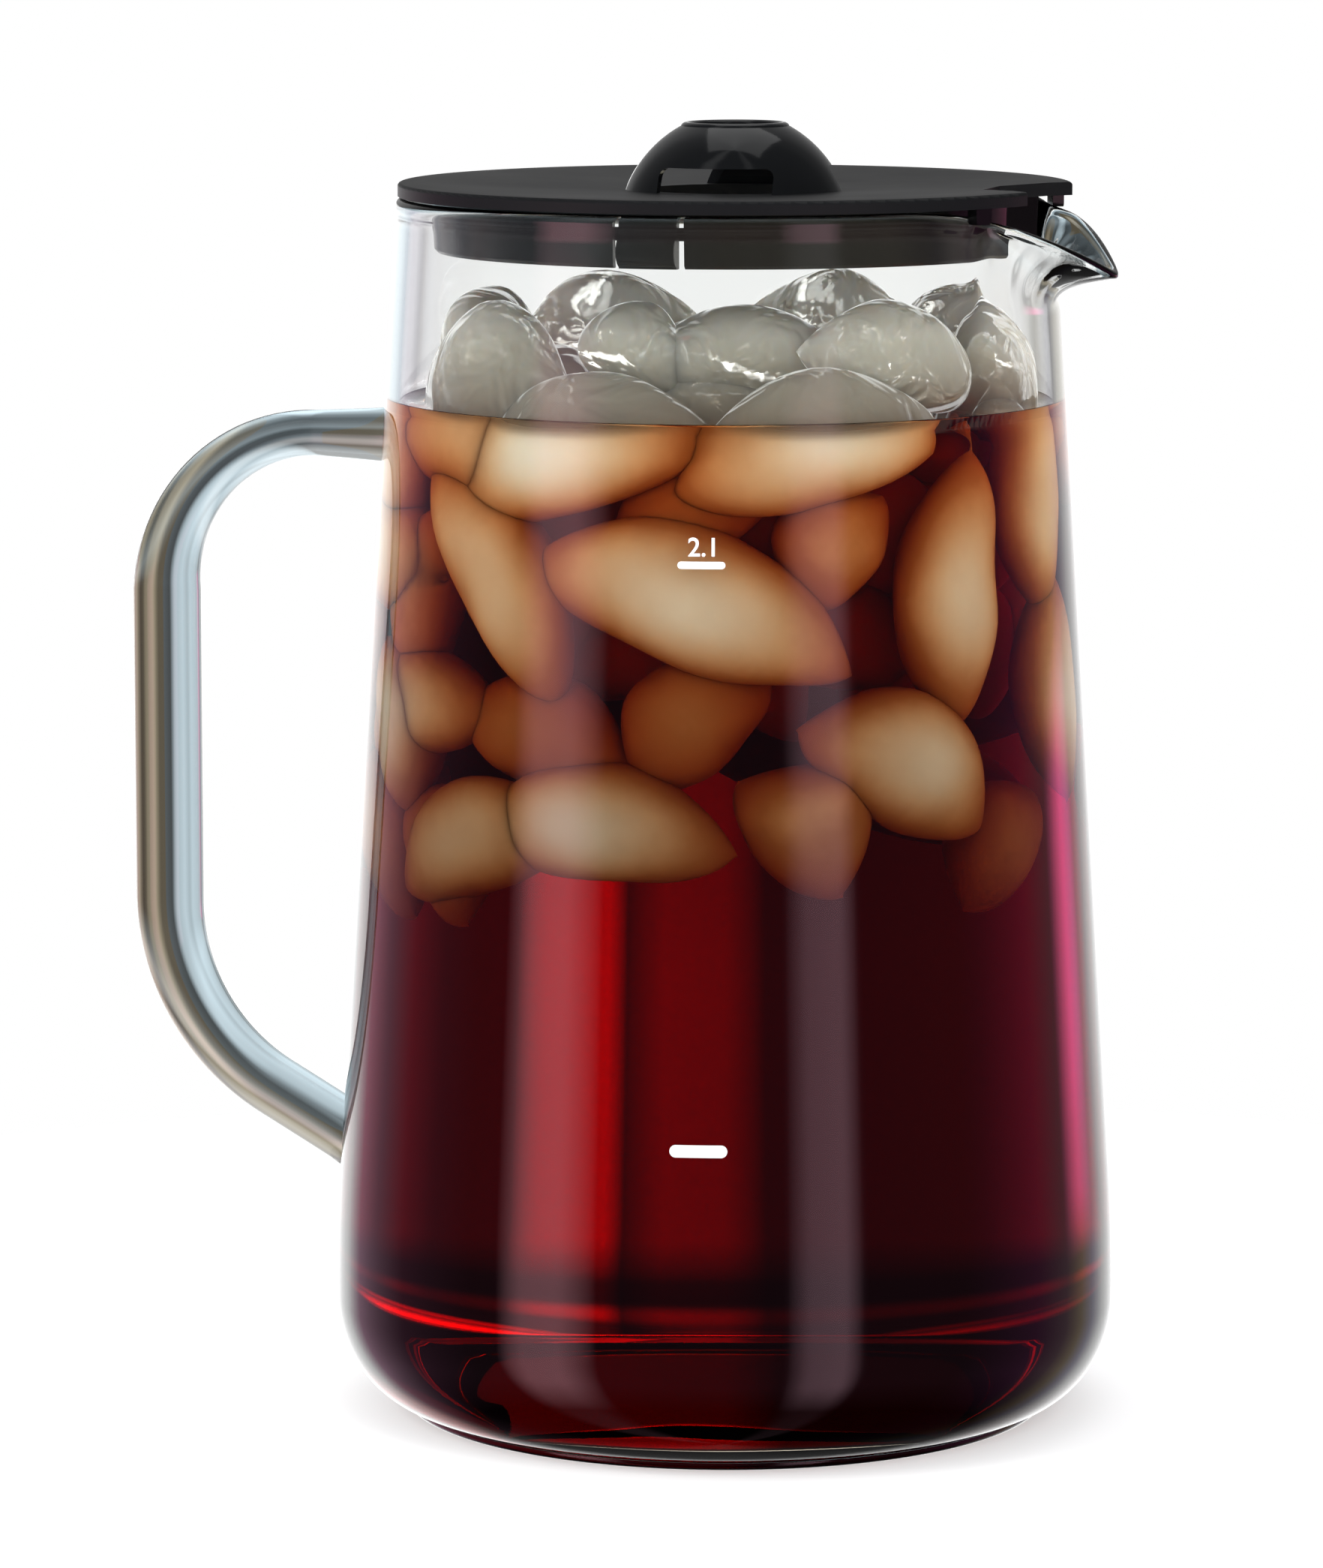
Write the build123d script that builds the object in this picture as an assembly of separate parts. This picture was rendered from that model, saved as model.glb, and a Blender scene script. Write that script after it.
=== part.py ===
"""Glass iced tea pitcher with a fused rod handle, a drooping pour spout and a lift-off lid.

Millimetres. The origin is the centre of the foot's contact plane, +Z is up and +X points to
the spout, so the handle stands at -X. The lid is drawn about its own centre, which is set a
little towards the spout, and moved there at the end.
"""
import os
from math import asin, cos, degrees, hypot, pi, radians, sin, sqrt, tan

from build123d import *

# ---- pitcher wall ---------------------------------------------------------------------------
body_radius = 72.0            # widest outer radius, low on the body
widest_height = 21.0          # height of the widest point
shoulder_inset = 1.0          # the straight cone starts this far inside the widest radius
shoulder_height = 48.0
neck_drop = 3.9               # the cone ends this far below the rim
rim_outer_radius = 60.4       # the fire-polished rim bead
bead_stand = 0.2              # the bead stands out this far beyond the cone's top
rim_width = 2.75
rim_round_height = 1.5        # from the bead's widest point to its top
glass_height = 223.3
wall = 2.5

# ---- pitcher bottom -------------------------------------------------------------------------
corner_inset = 15.0           # how far the rounded bottom corner reaches inwards
corner_foot_clearance = 1.4   # the corner's curve would end this far above the table
foot_inset = 12.4             # the foot lies this far inside the widest radius
foot_round = 1.3
foot_ring_width = 7.5         # flat ring that the pitcher stands on
punt_height = 1.2             # hollow under the floor
punt_edge_run = 2.4           # level distance over which the punt's edge climbs
floor_height = 6.0            # inner floor above the table
inner_corner_inset = 13.5
corner_points = 7             # points that a corner's curve is drawn through

# ---- pour spout -----------------------------------------------------------------------------
spout_overhang = 13.2         # from the rim to the tip of the lip
lip_drop = 13.3               # the tip lies this far below the rim
lip_start_inset = 16.4        # the rim starts to dip this far inside its radius, along X
lip_root_inset = 5.9          # the lip starts to flare this far inside the rim, along X
lip_half_width = 26.2
lip_wall = 2.2
tip_wall = 1.5
spout_depth = 14.6            # underside of the spout below the rim
spout_rise = 2.6              # the underside climbs this much where it leaves the wall
spout_rise_share = 0.5        # share of the lip's reach over which it climbs
spout_floor = 2.4
channel_least_depth = 0.4
spout_lead = 2.5              # the spout's first section lies this far inside the lip's root
spout_end_gap = 0.25          # its last section lies this far behind the tip
spout_shares = (0, 0.164, 0.351, 0.539, 0.703, 0.843, 0.946, 1)     # sections on that way
channel_lead = 5.0
channel_end_gap = 2.9
channel_shares = (0, 0.259, 0.472, 0.66, 0.825, 0.939, 1)
scoop_points = 9              # points that a section's curve is drawn through

# ---- handle ---------------------------------------------------------------------------------
grip_distance = 37.2          # from the body's widest radius to the middle of the grip
grip_diameter = 12.8
upper_arm_drop = 45.2         # the upper arm lies this far below the rim
upper_joint_diameter = 10.6
upper_neck_diameter = 8.6     # the drawn-out rod where the upper bend starts
lower_joint_height = 44.6
lower_arm_slope = 29.0        # degrees below level, towards the glass
lower_arm_diameter = 11.7
upper_bend_radius = 30.0
lower_bend_radius = 40.5
bend_sections = 7
bend_growth = 1.5             # power with which the rod's diameter changes along a bend
weld_depth = 6.0              # the rod is drawn this far into the wall before it is cut back

# ---- printed fill marks ---------------------------------------------------------------------
mark_azimuth = -77.8          # degrees from the spout
mark_thickness = 0.15
upper_mark_height = 162.8
upper_mark_length = 8.4
upper_mark_width = 1.3
lower_mark_height = 60.1
lower_mark_length = 10.2
lower_mark_width = 2.2

# ---- lid ------------------------------------------------------------------------------------
lid_shift = 1.7               # the lid's centre lies this far towards the spout
seat_gap = 0.3                # between the rim and the plate
plate_overhang = 1.0          # the plate reaches this far beyond the rim's radius
plate_thickness = 2.4
plate_edge_round = 0.6
dish_depth = 1.3              # the plate sinks towards the knob
dish_border = 4.4             # level border between the dish and the plate's edge
notch_rim_half_width = 17.4   # pour notch, at the plate's edge
notch_inner_half_width = 6.1
notch_depth = 5.6             # the notch reaches this far inside the skirt
skirt_clearance = 0.75        # between the skirt and the rim, at the spout
skirt_height = 9.9
skirt_thickness = 1.6
skirt_draft = 0.45
skirt_chamfer = 0.6
lug_width = 4.0
lug_thickness = 2.1
lug_drop = 2.8
lug_clearance = 0.45          # to the rim bead
lug_side_clearance = 0.9      # to the flared lip
lug_corner = 0.8

# ---- snap tongues in the skirt --------------------------------------------------------------
tongue_width = 10.4
slit_width = 1.2
tongue_band = 1.0             # the skirt stays whole above the tongue
tongue_gap = 0.3
tongue_thickness = 1.6
bump_height = 5.4
bump_start = 0.3              # above the skirt's lower edge
bump_clearance = 0.48         # to the glass, as the lid is lifted past the rim bead

# ---- knob -----------------------------------------------------------------------------------
knob_base_radius = 20.0
knob_seat_margin = 1.5        # the level pad runs this far past the knob's foot, both ways
knob_waist_inset = 4.25       # point on the dome's outer curve
knob_waist_height = 6.85
knob_waist_tilt = 33.0        # degrees: direction across the wall at the waist, below level
knob_height = 12.2
knob_hole_radius = 7.8
knob_ring_width = 2.1
knob_ring_round = 0.7
knob_wall = 2.1
window_width = 21.2
window_height = 4.5
window_corner = 1.8
window_count = 3
first_window_angle = -87.0    # degrees from the spout

# ---- heights, radii and angles that follow --------------------------------------------------
overshoot = 10.0              # cutting shapes run this far past what they cut
shoulder_radius = body_radius - shoulder_inset
foot_radius = body_radius - foot_inset
handle_reach = body_radius + grip_distance
rim_inner_radius = rim_outer_radius - rim_width
neck_radius = rim_outer_radius - bead_stand
neck_height = glass_height - neck_drop
upper_arm_height = glass_height - upper_arm_drop
bead_height = glass_height - rim_round_height
cone_slope = (shoulder_radius - neck_radius) / (neck_height - shoulder_height)
spout_reach = rim_outer_radius + spout_overhang
lip_start = rim_outer_radius - lip_start_inset
lip_root = rim_outer_radius - lip_root_inset
spout_run = spout_reach - spout_end_gap - (lip_root - spout_lead)
spout_stations = [lip_root - spout_lead + spout_run * share for share in spout_shares]
channel_run = spout_reach - channel_end_gap - (lip_root - channel_lead)
channel_stations = [lip_root - channel_lead + channel_run * share for share in channel_shares]
tip_height = glass_height - lip_drop
lip_radius = ((spout_reach - lip_start) ** 2 + lip_drop ** 2) / (2 * lip_drop)
plate_radius = rim_outer_radius + plate_overhang
dish_outer_radius = plate_radius - dish_border
knob_pad_radius = knob_base_radius + knob_seat_margin
plate_hole_radius = knob_base_radius - knob_wall - knob_seat_margin
knob_waist_radius = knob_base_radius - knob_waist_inset
plate_bottom = glass_height + seat_gap
plate_top = plate_bottom + plate_thickness
pad_top = plate_top - dish_depth
pad_bottom = plate_bottom - dish_depth
dish_slope = dish_depth / (dish_outer_radius - knob_pad_radius)
skirt_bottom = plate_bottom - skirt_height
skirt_radius = rim_inner_radius - lid_shift - skirt_clearance
skirt_inner_radius = skirt_radius - skirt_thickness
notch_inner_reach = skirt_inner_radius - notch_depth
notch_rim_reach = sqrt(plate_radius ** 2 - notch_rim_half_width ** 2)
notch_growth = (notch_rim_half_width - notch_inner_half_width) / (notch_rim_reach - notch_inner_reach)
lug_side_reach = lip_half_width + lug_side_clearance + lug_width / 2
lug_angle = degrees(asin(lug_side_reach / (rim_outer_radius + lug_clearance)))
lug_inner_radius = rim_outer_radius + lug_clearance - lid_shift * cos(radians(lug_angle))
skirt_inner_top = plate_bottom - dish_slope * (dish_outer_radius - skirt_inner_radius)
tongue_top = skirt_inner_top - tongue_band - tongue_gap
bump_radius = sqrt((rim_inner_radius - bump_clearance) ** 2 - lid_shift ** 2)


def xz(r, z):
    """Point in the XZ plane."""
    return Vector(r, 0, z)


def revolved(edges):
    """Solid of revolution about Z from closed edges drawn in the XZ plane."""
    return revolve(make_face(edges), axis=Axis.Z)


def wall_radius(z):
    """Outer radius of the straight cone at height z."""
    return neck_radius + (neck_height - z) * cone_slope


def corner_curve(inset, low, bottom_radius, side_radius):
    """Quarter-ellipse corner from the side wall's lowest point down to bottom_radius."""
    centre = side_radius - inset
    depth = widest_height - low
    last = pi / 2
    if bottom_radius > centre:
        last = asin(sqrt(1 - ((bottom_radius - centre) / inset) ** 2))
    turns = [last * i / (corner_points - 1) for i in range(corner_points)]
    points = [xz(centre + inset * cos(t), widest_height - depth * sin(t)) for t in turns]
    ends = [xz(0, -1), xz(-sin(last) * inset, -cos(last) * depth)]
    return Spline(*points, tangents=[v.normalized() for v in ends]), points[-1]


# ---- glass body -----------------------------------------------------------------------------
def side_edges(inset=0.0):
    """Edges of the side wall from the widest point up to the neck, moved inwards by inset."""
    widest = xz(body_radius - inset, widest_height)
    shoulder = xz(shoulder_radius - inset, shoulder_height)
    neck = xz(neck_radius - inset, neck_height)
    return [TangentArc(widest, shoulder, tangent=(0, 0, 1)), Line(shoulder, neck)]


def outer_blank():
    """The body's outer shape, filled up to its axis and to the bead's widest point."""
    corner, foot_top = corner_curve(
        corner_inset, corner_foot_clearance, foot_radius, body_radius)
    bend = foot_round * (1 - sqrt(0.5))
    foot_side = xz(foot_radius, foot_round)
    foot_low = xz(foot_radius - foot_round, 0)
    ring_inner = foot_low - xz(foot_ring_width, 0)
    punt_edge = ring_inner + xz(-punt_edge_run, punt_height)
    bead_out = xz(rim_outer_radius, bead_height)
    edges = [
        corner,
        Line(foot_top, foot_side),
        ThreePointArc(foot_side, xz(foot_radius - bend, bend), foot_low),
        Line(foot_low, ring_inner),
        Line(ring_inner, punt_edge),
        Line(punt_edge, xz(0, punt_height)),
        Line(xz(0, punt_height), xz(0, bead_height)),
        Line(xz(0, bead_height), bead_out),
        Line(bead_out, xz(neck_radius, neck_height)),
    ]
    return revolved(edges + side_edges())


def rim_blank():
    """Rounded top of the bead, above its widest point."""
    bead_out = xz(rim_outer_radius, bead_height)
    bead_top = xz(rim_outer_radius - rim_width / 2, glass_height)
    bead_in = xz(rim_inner_radius, bead_height)
    return revolved([ThreePointArc(bead_out, bead_top, bead_in), Line(bead_in, bead_out)])


def inner_hollow():
    """The space inside the wall, open upwards."""
    side_radius = body_radius - wall
    corner, floor_edge = corner_curve(
        inner_corner_inset, floor_height, side_radius - inner_corner_inset, side_radius)
    bead_in = xz(rim_inner_radius, bead_height)
    open_edge = xz(rim_inner_radius, glass_height + overshoot)
    open_axis = xz(0, glass_height + overshoot)
    edges = [
        corner,
        Line(floor_edge, xz(0, floor_height)),
        Line(xz(0, floor_height), open_axis),
        Line(open_axis, open_edge),
        Line(open_edge, bead_in),
        Line(bead_in, xz(neck_radius - wall, neck_height)),
    ]
    return revolved(edges + side_edges(wall))


def lip_half(x):
    """Half the lip's width at x: a quarter sine wave from the flare's root to the tip."""
    share = min(1.0, (spout_reach - x) / (spout_reach - lip_root))
    return lip_half_width * sin(pi / 2 * share)


def lip_height(x):
    """Height of the lip at x: a circle that leaves the rim level and ends at the tip."""
    run = max(0.0, x - lip_start)
    return glass_height - lip_radius + sqrt(lip_radius ** 2 - run ** 2)


def underside(x):
    """Height of the spout's underside at x: it rises out of the wall, then runs level."""
    share = (max(x, lip_root) - lip_root) / (spout_rise_share * (spout_reach - lip_root))
    return glass_height - spout_depth - spout_rise * (1 - min(1.0, share)) ** 2


def scoop_section(x, half, low):
    """Trough section across the spout at x: half an ellipse with upright ends."""
    brim = lip_height(x)
    top = glass_height + overshoot
    turns = [pi * i / (scoop_points - 1) for i in range(scoop_points)]
    points = [Vector(x, half * cos(t), brim - (brim - low) * sin(t)) for t in turns]
    near_top = Vector(x, -half, top)
    far_top = Vector(x, half, top)
    edges = [
        Spline(*points, tangents=[Vector(0, 0, -1), Vector(0, 0, 1)]),
        Line(points[-1], near_top),
        Line(near_top, far_top),
        Line(far_top, points[0]),
    ]
    return make_face(edges)


def spout_blank():
    """Outer shape of the spout, from inside the wall to its tip."""
    return loft([scoop_section(x, lip_half(x), underside(x)) for x in spout_stations])


def spout_channel():
    """Hollow of the spout, from inside the pitcher to just behind the tip."""
    sections = []
    for x in channel_stations:
        half = lip_half(x + tip_wall) - lip_wall
        floor = min(underside(x) + spout_floor, lip_height(x) - channel_least_depth)
        sections.append(scoop_section(x, half, floor))
    return loft(sections)


def lip_trim():
    """Everything above the lip's curved edge."""
    start = xz(lip_start, glass_height)
    tip = xz(spout_reach, tip_height)
    out = xz(spout_reach + overshoot, 0)
    high = xz(0, glass_height + 2 * overshoot)
    edges = [
        TangentArc(start, tip, tangent=(1, 0, 0)),
        Line(tip, xz(out.X, tip.Z)),
        Line(xz(out.X, tip.Z), xz(out.X, high.Z)),
        Line(xz(out.X, high.Z), xz(start.X, high.Z)),
        Line(xz(start.X, high.Z), start),
    ]
    return extrude(make_face(edges), amount=neck_radius, dir=(0, 1, 0), both=True)


def make_glass_body():
    """Pitcher wall, foot, rim bead and spout in one piece of glass."""
    above_lip = lip_trim()
    body = outer_blank() + rim_blank() - above_lip
    spout = spout_blank() - above_lip
    return body + spout - inner_hollow() - spout_channel()


# ---- handle ---------------------------------------------------------------------------------
def rod_circle(x, z, along, diameter):
    """Round section of the rod at (x, z), square to the direction along."""
    plane = Plane(origin=(x, 0, z), x_dir=(0, 1, 0), z_dir=(along[0], 0, along[1]))
    return plane * Circle(diameter / 2)


def rod_bend(centre, radius, start, end, first, last, growth):
    """Bend about centre from angle start to end, its diameter going from first to last."""
    sections = []
    for i in range(bend_sections):
        t = i / (bend_sections - 1)
        angle = start + (end - start) * t
        x = centre[0] + radius * cos(angle)
        z = centre[1] + radius * sin(angle)
        diameter = first + (last - first) * growth(t)
        sections.append(rod_circle(x, z, (-sin(angle), cos(angle)), diameter))
    return loft(sections)


def make_glass_handle():
    """Bent rod: level upper arm, upright grip and a lower arm that slopes down to the wall."""
    grip_x = -handle_reach
    slope = radians(lower_arm_slope)
    joint_x = -wall_radius(lower_joint_height)
    corner_z = lower_joint_height + (joint_x - grip_x) * tan(slope)
    bend_turn = pi / 2 - slope
    grip_low = corner_z + lower_bend_radius * tan(bend_turn / 2)
    grip_high = upper_arm_height - upper_bend_radius
    upper_centre = (grip_x + upper_bend_radius, grip_high)
    lower_centre = (grip_x + lower_bend_radius, grip_low)
    arm_start = -wall_radius(upper_arm_height) + weld_depth
    upper_arm = loft([
        rod_circle(arm_start, upper_arm_height, (1, 0), upper_joint_diameter),
        rod_circle(upper_centre[0], upper_arm_height, (1, 0), upper_neck_diameter),
    ])
    upper_bend = rod_bend(upper_centre, upper_bend_radius, pi / 2, pi,
                          upper_neck_diameter, grip_diameter, lambda t: t ** bend_growth)
    grip = Pos(grip_x, 0, grip_low) * Cylinder(
        grip_diameter / 2, grip_high - grip_low, align=(Align.CENTER, Align.CENTER, Align.MIN))
    lower_bend = rod_bend(lower_centre, lower_bend_radius, pi, pi + bend_turn,
                          grip_diameter, lower_arm_diameter, lambda t: 1 - (1 - t) ** bend_growth)
    arm_x = lower_centre[0] + lower_bend_radius * cos(pi + bend_turn)
    arm_z = lower_centre[1] + lower_bend_radius * sin(pi + bend_turn)
    arm_run = hypot(joint_x - arm_x, lower_joint_height - arm_z) + weld_depth
    lower_arm = extrude(
        rod_circle(arm_x, arm_z, (cos(slope), -sin(slope)), lower_arm_diameter), amount=arm_run)
    rod = upper_arm + upper_bend + grip + lower_bend + lower_arm
    return rod - outer_blank()


# ---- fill marks -----------------------------------------------------------------------------
def make_fill_mark(height, length, width):
    """Thin printed bar with round ends, lying on the outside of the glass cone."""
    low = height - width
    high = height + width
    corners = [
        xz(wall_radius(low), low),
        xz(wall_radius(high), high),
        xz(wall_radius(high) + mark_thickness, high),
        xz(wall_radius(low) + mark_thickness, low),
    ]
    skin = revolved([Line(a, b) for a, b in zip(corners, corners[1:] + corners[:1])])
    side = Plane(origin=(0, 0, height), x_dir=(0, 1, 0), z_dir=(1, 0, 0))
    stamp = extrude(side * SlotOverall(length, width), amount=body_radius + overshoot)
    return skin & (Rot(0, 0, mark_azimuth) * stamp)


# ---- lid ------------------------------------------------------------------------------------
def notch_blank(low, high):
    """Pour notch of the lid as a prism that widens outwards past the plate's edge."""
    out_reach = plate_radius + overshoot
    out_half = notch_inner_half_width + notch_growth * (out_reach - notch_inner_reach)
    outline = Polyline(
        (notch_inner_reach, -notch_inner_half_width), (out_reach, -out_half),
        (out_reach, out_half), (notch_inner_reach, notch_inner_half_width), close=True)
    return Pos(0, 0, low) * extrude(make_face(outline), amount=high - low)


def make_lid_plate():
    """Round plate, dished towards the knob, with the pour notch and the middle opening."""
    edge_top = xz(plate_radius - plate_edge_round, plate_top)
    edge_side = xz(plate_radius, plate_top - plate_edge_round)
    bend = plate_edge_round * (1 - sqrt(0.5))
    corners = [
        edge_side,
        xz(plate_radius, plate_bottom),
        xz(dish_outer_radius, plate_bottom),
        xz(knob_pad_radius, pad_bottom),
        xz(plate_hole_radius, pad_bottom),
        xz(plate_hole_radius, pad_top),
        xz(knob_pad_radius, pad_top),
        xz(dish_outer_radius, plate_top),
        edge_top,
    ]
    edges = [Line(a, b) for a, b in zip(corners, corners[1:])]
    edges.append(ThreePointArc(edge_top, xz(plate_radius - bend, plate_top - bend), edge_side))
    return revolved(edges) - notch_blank(skirt_bottom, plate_top + overshoot)


def skirt_ring():
    """Full ring of the skirt, with draft, up to the sloping underside of the plate."""
    outer_top = plate_bottom - dish_slope * (dish_outer_radius - skirt_radius)
    corners = [
        xz(skirt_radius, outer_top),
        xz(skirt_radius - skirt_draft, skirt_bottom + skirt_chamfer),
        xz(skirt_radius - skirt_draft - skirt_chamfer, skirt_bottom),
        xz(skirt_inner_radius - skirt_draft, skirt_bottom),
        xz(skirt_inner_radius, skirt_inner_top),
    ]
    return revolved([Line(a, b) for a, b in zip(corners, corners[1:] + corners[:1])])


def make_lid_skirt():
    """Skirt ring, cut by the pour notch and by the two gaps that hold the snap tongues."""
    gaps = Pos(0, 0, tongue_top + tongue_gap) * Box(
        tongue_width + 2 * slit_width, 2 * (plate_radius + overshoot), skirt_height,
        align=(Align.CENTER, Align.CENTER, Align.MAX))
    return skirt_ring() - notch_blank(skirt_bottom - overshoot, plate_top) - gaps


def make_pour_wall(side):
    """Upright wall along one edge of the notch, from the notch's inner corner to the skirt."""
    run = Vector(1, notch_growth, 0).normalized()
    across = Vector(-run.Y, run.X, 0) * skirt_thickness
    inner = Vector(notch_inner_reach, notch_inner_half_width, 0)
    outer = inner + run * skirt_radius
    corners = [inner, outer, outer + across, inner + across]
    outline = Polyline(*[(p.X, side * p.Y) for p in corners], close=True)
    prism = Pos(0, 0, skirt_bottom) * extrude(make_face(outline), amount=skirt_height)
    within = Cylinder(skirt_inner_radius, 2 * plate_top)
    return (prism & within) - make_lid_plate() - skirt_ring()


def make_locating_lug(side):
    """Small block that hangs from the plate's edge beside the spout, outside the glass."""
    block = Pos(lug_inner_radius + lug_thickness / 2, 0, plate_bottom - lug_drop / 2) * Box(
        lug_thickness, lug_width, lug_drop)
    low_edges = block.edges().filter_by(Axis.X).group_by(Axis.Z)[0]
    return Rot(0, 0, side * lug_angle) * fillet(low_edges, lug_corner)


def make_snap_tongue(side):
    """Sprung tongue with a rounded bump that faces the glass below the rim bead."""
    inner = skirt_radius - tongue_thickness
    bump_low = skirt_bottom + bump_start
    bump_top = bump_low + bump_height
    bump_peak = xz(bump_radius, (bump_low + bump_top) / 2)
    edges = [
        Line(xz(inner, tongue_top), xz(skirt_radius, tongue_top)),
        Line(xz(skirt_radius, tongue_top), xz(skirt_radius, bump_top)),
        ThreePointArc(xz(skirt_radius, bump_top), bump_peak, xz(skirt_radius, bump_low)),
        Line(xz(skirt_radius, bump_low), xz(skirt_radius, skirt_bottom)),
        Line(xz(skirt_radius, skirt_bottom), xz(inner, skirt_bottom)),
        Line(xz(inner, skirt_bottom), xz(inner, tongue_top)),
    ]
    slab = Pos(0, side * plate_radius / 2, tongue_top - skirt_height / 2) * Box(
        tongue_width, plate_radius, skirt_height + overshoot)
    return revolved(edges) & slab


def make_knob_dome():
    """Domed knob on three legs, open at the top, with three arched windows at its foot."""
    crown = knob_height - knob_ring_round
    inner_top = knob_height - knob_wall
    tilt = radians(knob_waist_tilt)
    waist = xz(knob_waist_radius, knob_waist_height)
    inner_waist = waist - xz(knob_wall * cos(tilt), knob_wall * sin(tilt))
    ring_outer = xz(knob_hole_radius + knob_ring_width, crown)
    ring_top = xz(knob_hole_radius + knob_ring_width / 2, knob_height)
    ring_inner = xz(knob_hole_radius, crown)
    base_outer = xz(knob_base_radius, 0)
    base_inner = xz(knob_base_radius - knob_wall, 0)
    edges = [
        ThreePointArc(base_outer, waist, ring_outer),
        ThreePointArc(ring_outer, ring_top, ring_inner),
        Line(ring_inner, xz(knob_hole_radius, inner_top)),
        ThreePointArc(xz(knob_hole_radius, inner_top), inner_waist, base_inner),
        Line(base_inner, base_outer),
    ]
    dome = revolved(edges)
    side = Plane(origin=(0, 0, 0), x_dir=(0, 1, 0), z_dir=(1, 0, 0))
    arch = side * RectangleRounded(window_width, 2 * window_height, window_corner)
    window = extrude(arch, amount=knob_base_radius + overshoot)
    for i in range(window_count):
        dome -= Rot(0, 0, first_window_angle + i * 360 / window_count) * window
    return Pos(0, 0, pad_top) * dome


def main():
    """Build every piece in the shared frame and write one file for each."""
    lid = Pos(lid_shift, 0, 0)
    nodes = {
        "glass_body": make_glass_body(),
        "glass_handle": make_glass_handle(),
        "fill_mark_upper": make_fill_mark(upper_mark_height, upper_mark_length, upper_mark_width),
        "fill_mark_lower": make_fill_mark(lower_mark_height, lower_mark_length, lower_mark_width),
        "lid_plate": lid * make_lid_plate(),
        "lid_skirt": lid * make_lid_skirt(),
        "pour_wall_near": lid * make_pour_wall(-1),
        "pour_wall_far": lid * make_pour_wall(1),
        "locating_lug_near": lid * make_locating_lug(-1),
        "locating_lug_far": lid * make_locating_lug(1),
        "snap_tongue_near": lid * make_snap_tongue(-1),
        "snap_tongue_far": lid * make_snap_tongue(1),
        "knob_dome": lid * make_knob_dome(),
    }
    os.makedirs("parts", exist_ok=True)
    for name, shape in nodes.items():
        shape.label = name
        export_step(shape, f"parts/{name}.step")


main()
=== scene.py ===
# %% [markdown]
# # A glass iced tea pitcher
# The solids of this object are made in CAD and packed as a frame that can't be moved. This
# script dresses that frame: it gives every solid a finish, puts smoother glass where light has
# to bend cleanly, and fills the pitcher with tea and ice. Everything is in metres, in the same
# axes as the solids: +Z is up and +X points to the spout.

import math

import bmesh
import bpy
import numpy as np
from mathutils import Matrix, Vector


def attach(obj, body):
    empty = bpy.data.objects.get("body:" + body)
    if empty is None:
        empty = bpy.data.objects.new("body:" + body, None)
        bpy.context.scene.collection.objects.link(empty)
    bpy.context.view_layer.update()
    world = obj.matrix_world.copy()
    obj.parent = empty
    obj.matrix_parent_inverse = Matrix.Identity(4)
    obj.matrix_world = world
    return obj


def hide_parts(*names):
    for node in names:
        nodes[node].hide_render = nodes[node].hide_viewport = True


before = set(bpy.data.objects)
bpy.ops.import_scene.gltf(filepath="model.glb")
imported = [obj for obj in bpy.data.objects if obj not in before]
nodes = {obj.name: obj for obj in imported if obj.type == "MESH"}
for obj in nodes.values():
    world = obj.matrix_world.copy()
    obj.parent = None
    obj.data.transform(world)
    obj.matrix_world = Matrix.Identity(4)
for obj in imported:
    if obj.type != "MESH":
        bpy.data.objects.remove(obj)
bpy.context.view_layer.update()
MM = 0.001
print("solids:", sorted(nodes))


# %% [markdown]
# ## From arrays to meshes
# A surface here is a grid of points worked out with numpy. One helper turns such a grid into a
# mesh: neighbouring points become four-sided faces, closed rings are joined, and points that
# fall on one another at a pole are merged.

# %% Grid helper
def grid_faces(rows, columns, wrap_rows=False, wrap_columns=False):
    """Corner numbers of every face: (i, j), (i, j + 1), (i + 1, j + 1), (i + 1, j)."""
    i = np.arange(rows if wrap_rows else rows - 1)
    j = np.arange(columns if wrap_columns else columns - 1)
    i, j = [a.ravel() for a in np.meshgrid(i, j, indexing="ij")]
    k = (i + 1) % rows
    m = (j + 1) % columns
    return np.stack([i * columns + j, i * columns + m, k * columns + m, k * columns + j], axis=1)


def make_piece(name, points, faces, merge=1e-7):
    """A smooth-shaded object from points in millimetres, with its faces turned outwards."""
    mesh = bpy.data.meshes.new(name)
    mesh.from_pydata((points.reshape(-1, 3) * MM).tolist(), [], faces.tolist())
    work = bmesh.new()
    work.from_mesh(mesh)
    bmesh.ops.remove_doubles(work, verts=work.verts, dist=merge)
    bmesh.ops.recalc_face_normals(work, faces=work.faces)
    work.to_mesh(mesh)
    work.free()
    mesh.shade_smooth()
    piece = bpy.data.objects.new(name, mesh)
    bpy.context.scene.collection.objects.link(piece)
    print(name, "faces", len(mesh.polygons))
    return piece


def revolve_profile(profile, turns):
    """Grid of a profile (radius, height) carried round the Z axis at the given angles."""
    r = profile[:, 0][:, None]
    z = np.repeat(profile[:, 1][:, None], len(turns), axis=1)
    return np.stack([r * np.cos(turns), r * np.sin(turns), z], axis=2)


# %% [markdown]
# ## Node helpers for finishes
# Every finish is a small network of nodes. The helpers add a node, set its values and join its
# inputs in one line, so that each finish below reads like a recipe.

# %% Finish helpers
def add_node(tree, kind, values=None, links=None, **settings):
    """Adds a node; values sets its sockets, links joins them to other nodes' outputs."""
    node = tree.nodes.new(kind)
    for key, value in settings.items():
        setattr(node, key, value)
    for key, value in (values or {}).items():
        node.inputs[key].default_value = value
    for key, source in (links or {}).items():
        tree.links.new(source, node.inputs[key])
    return node


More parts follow.
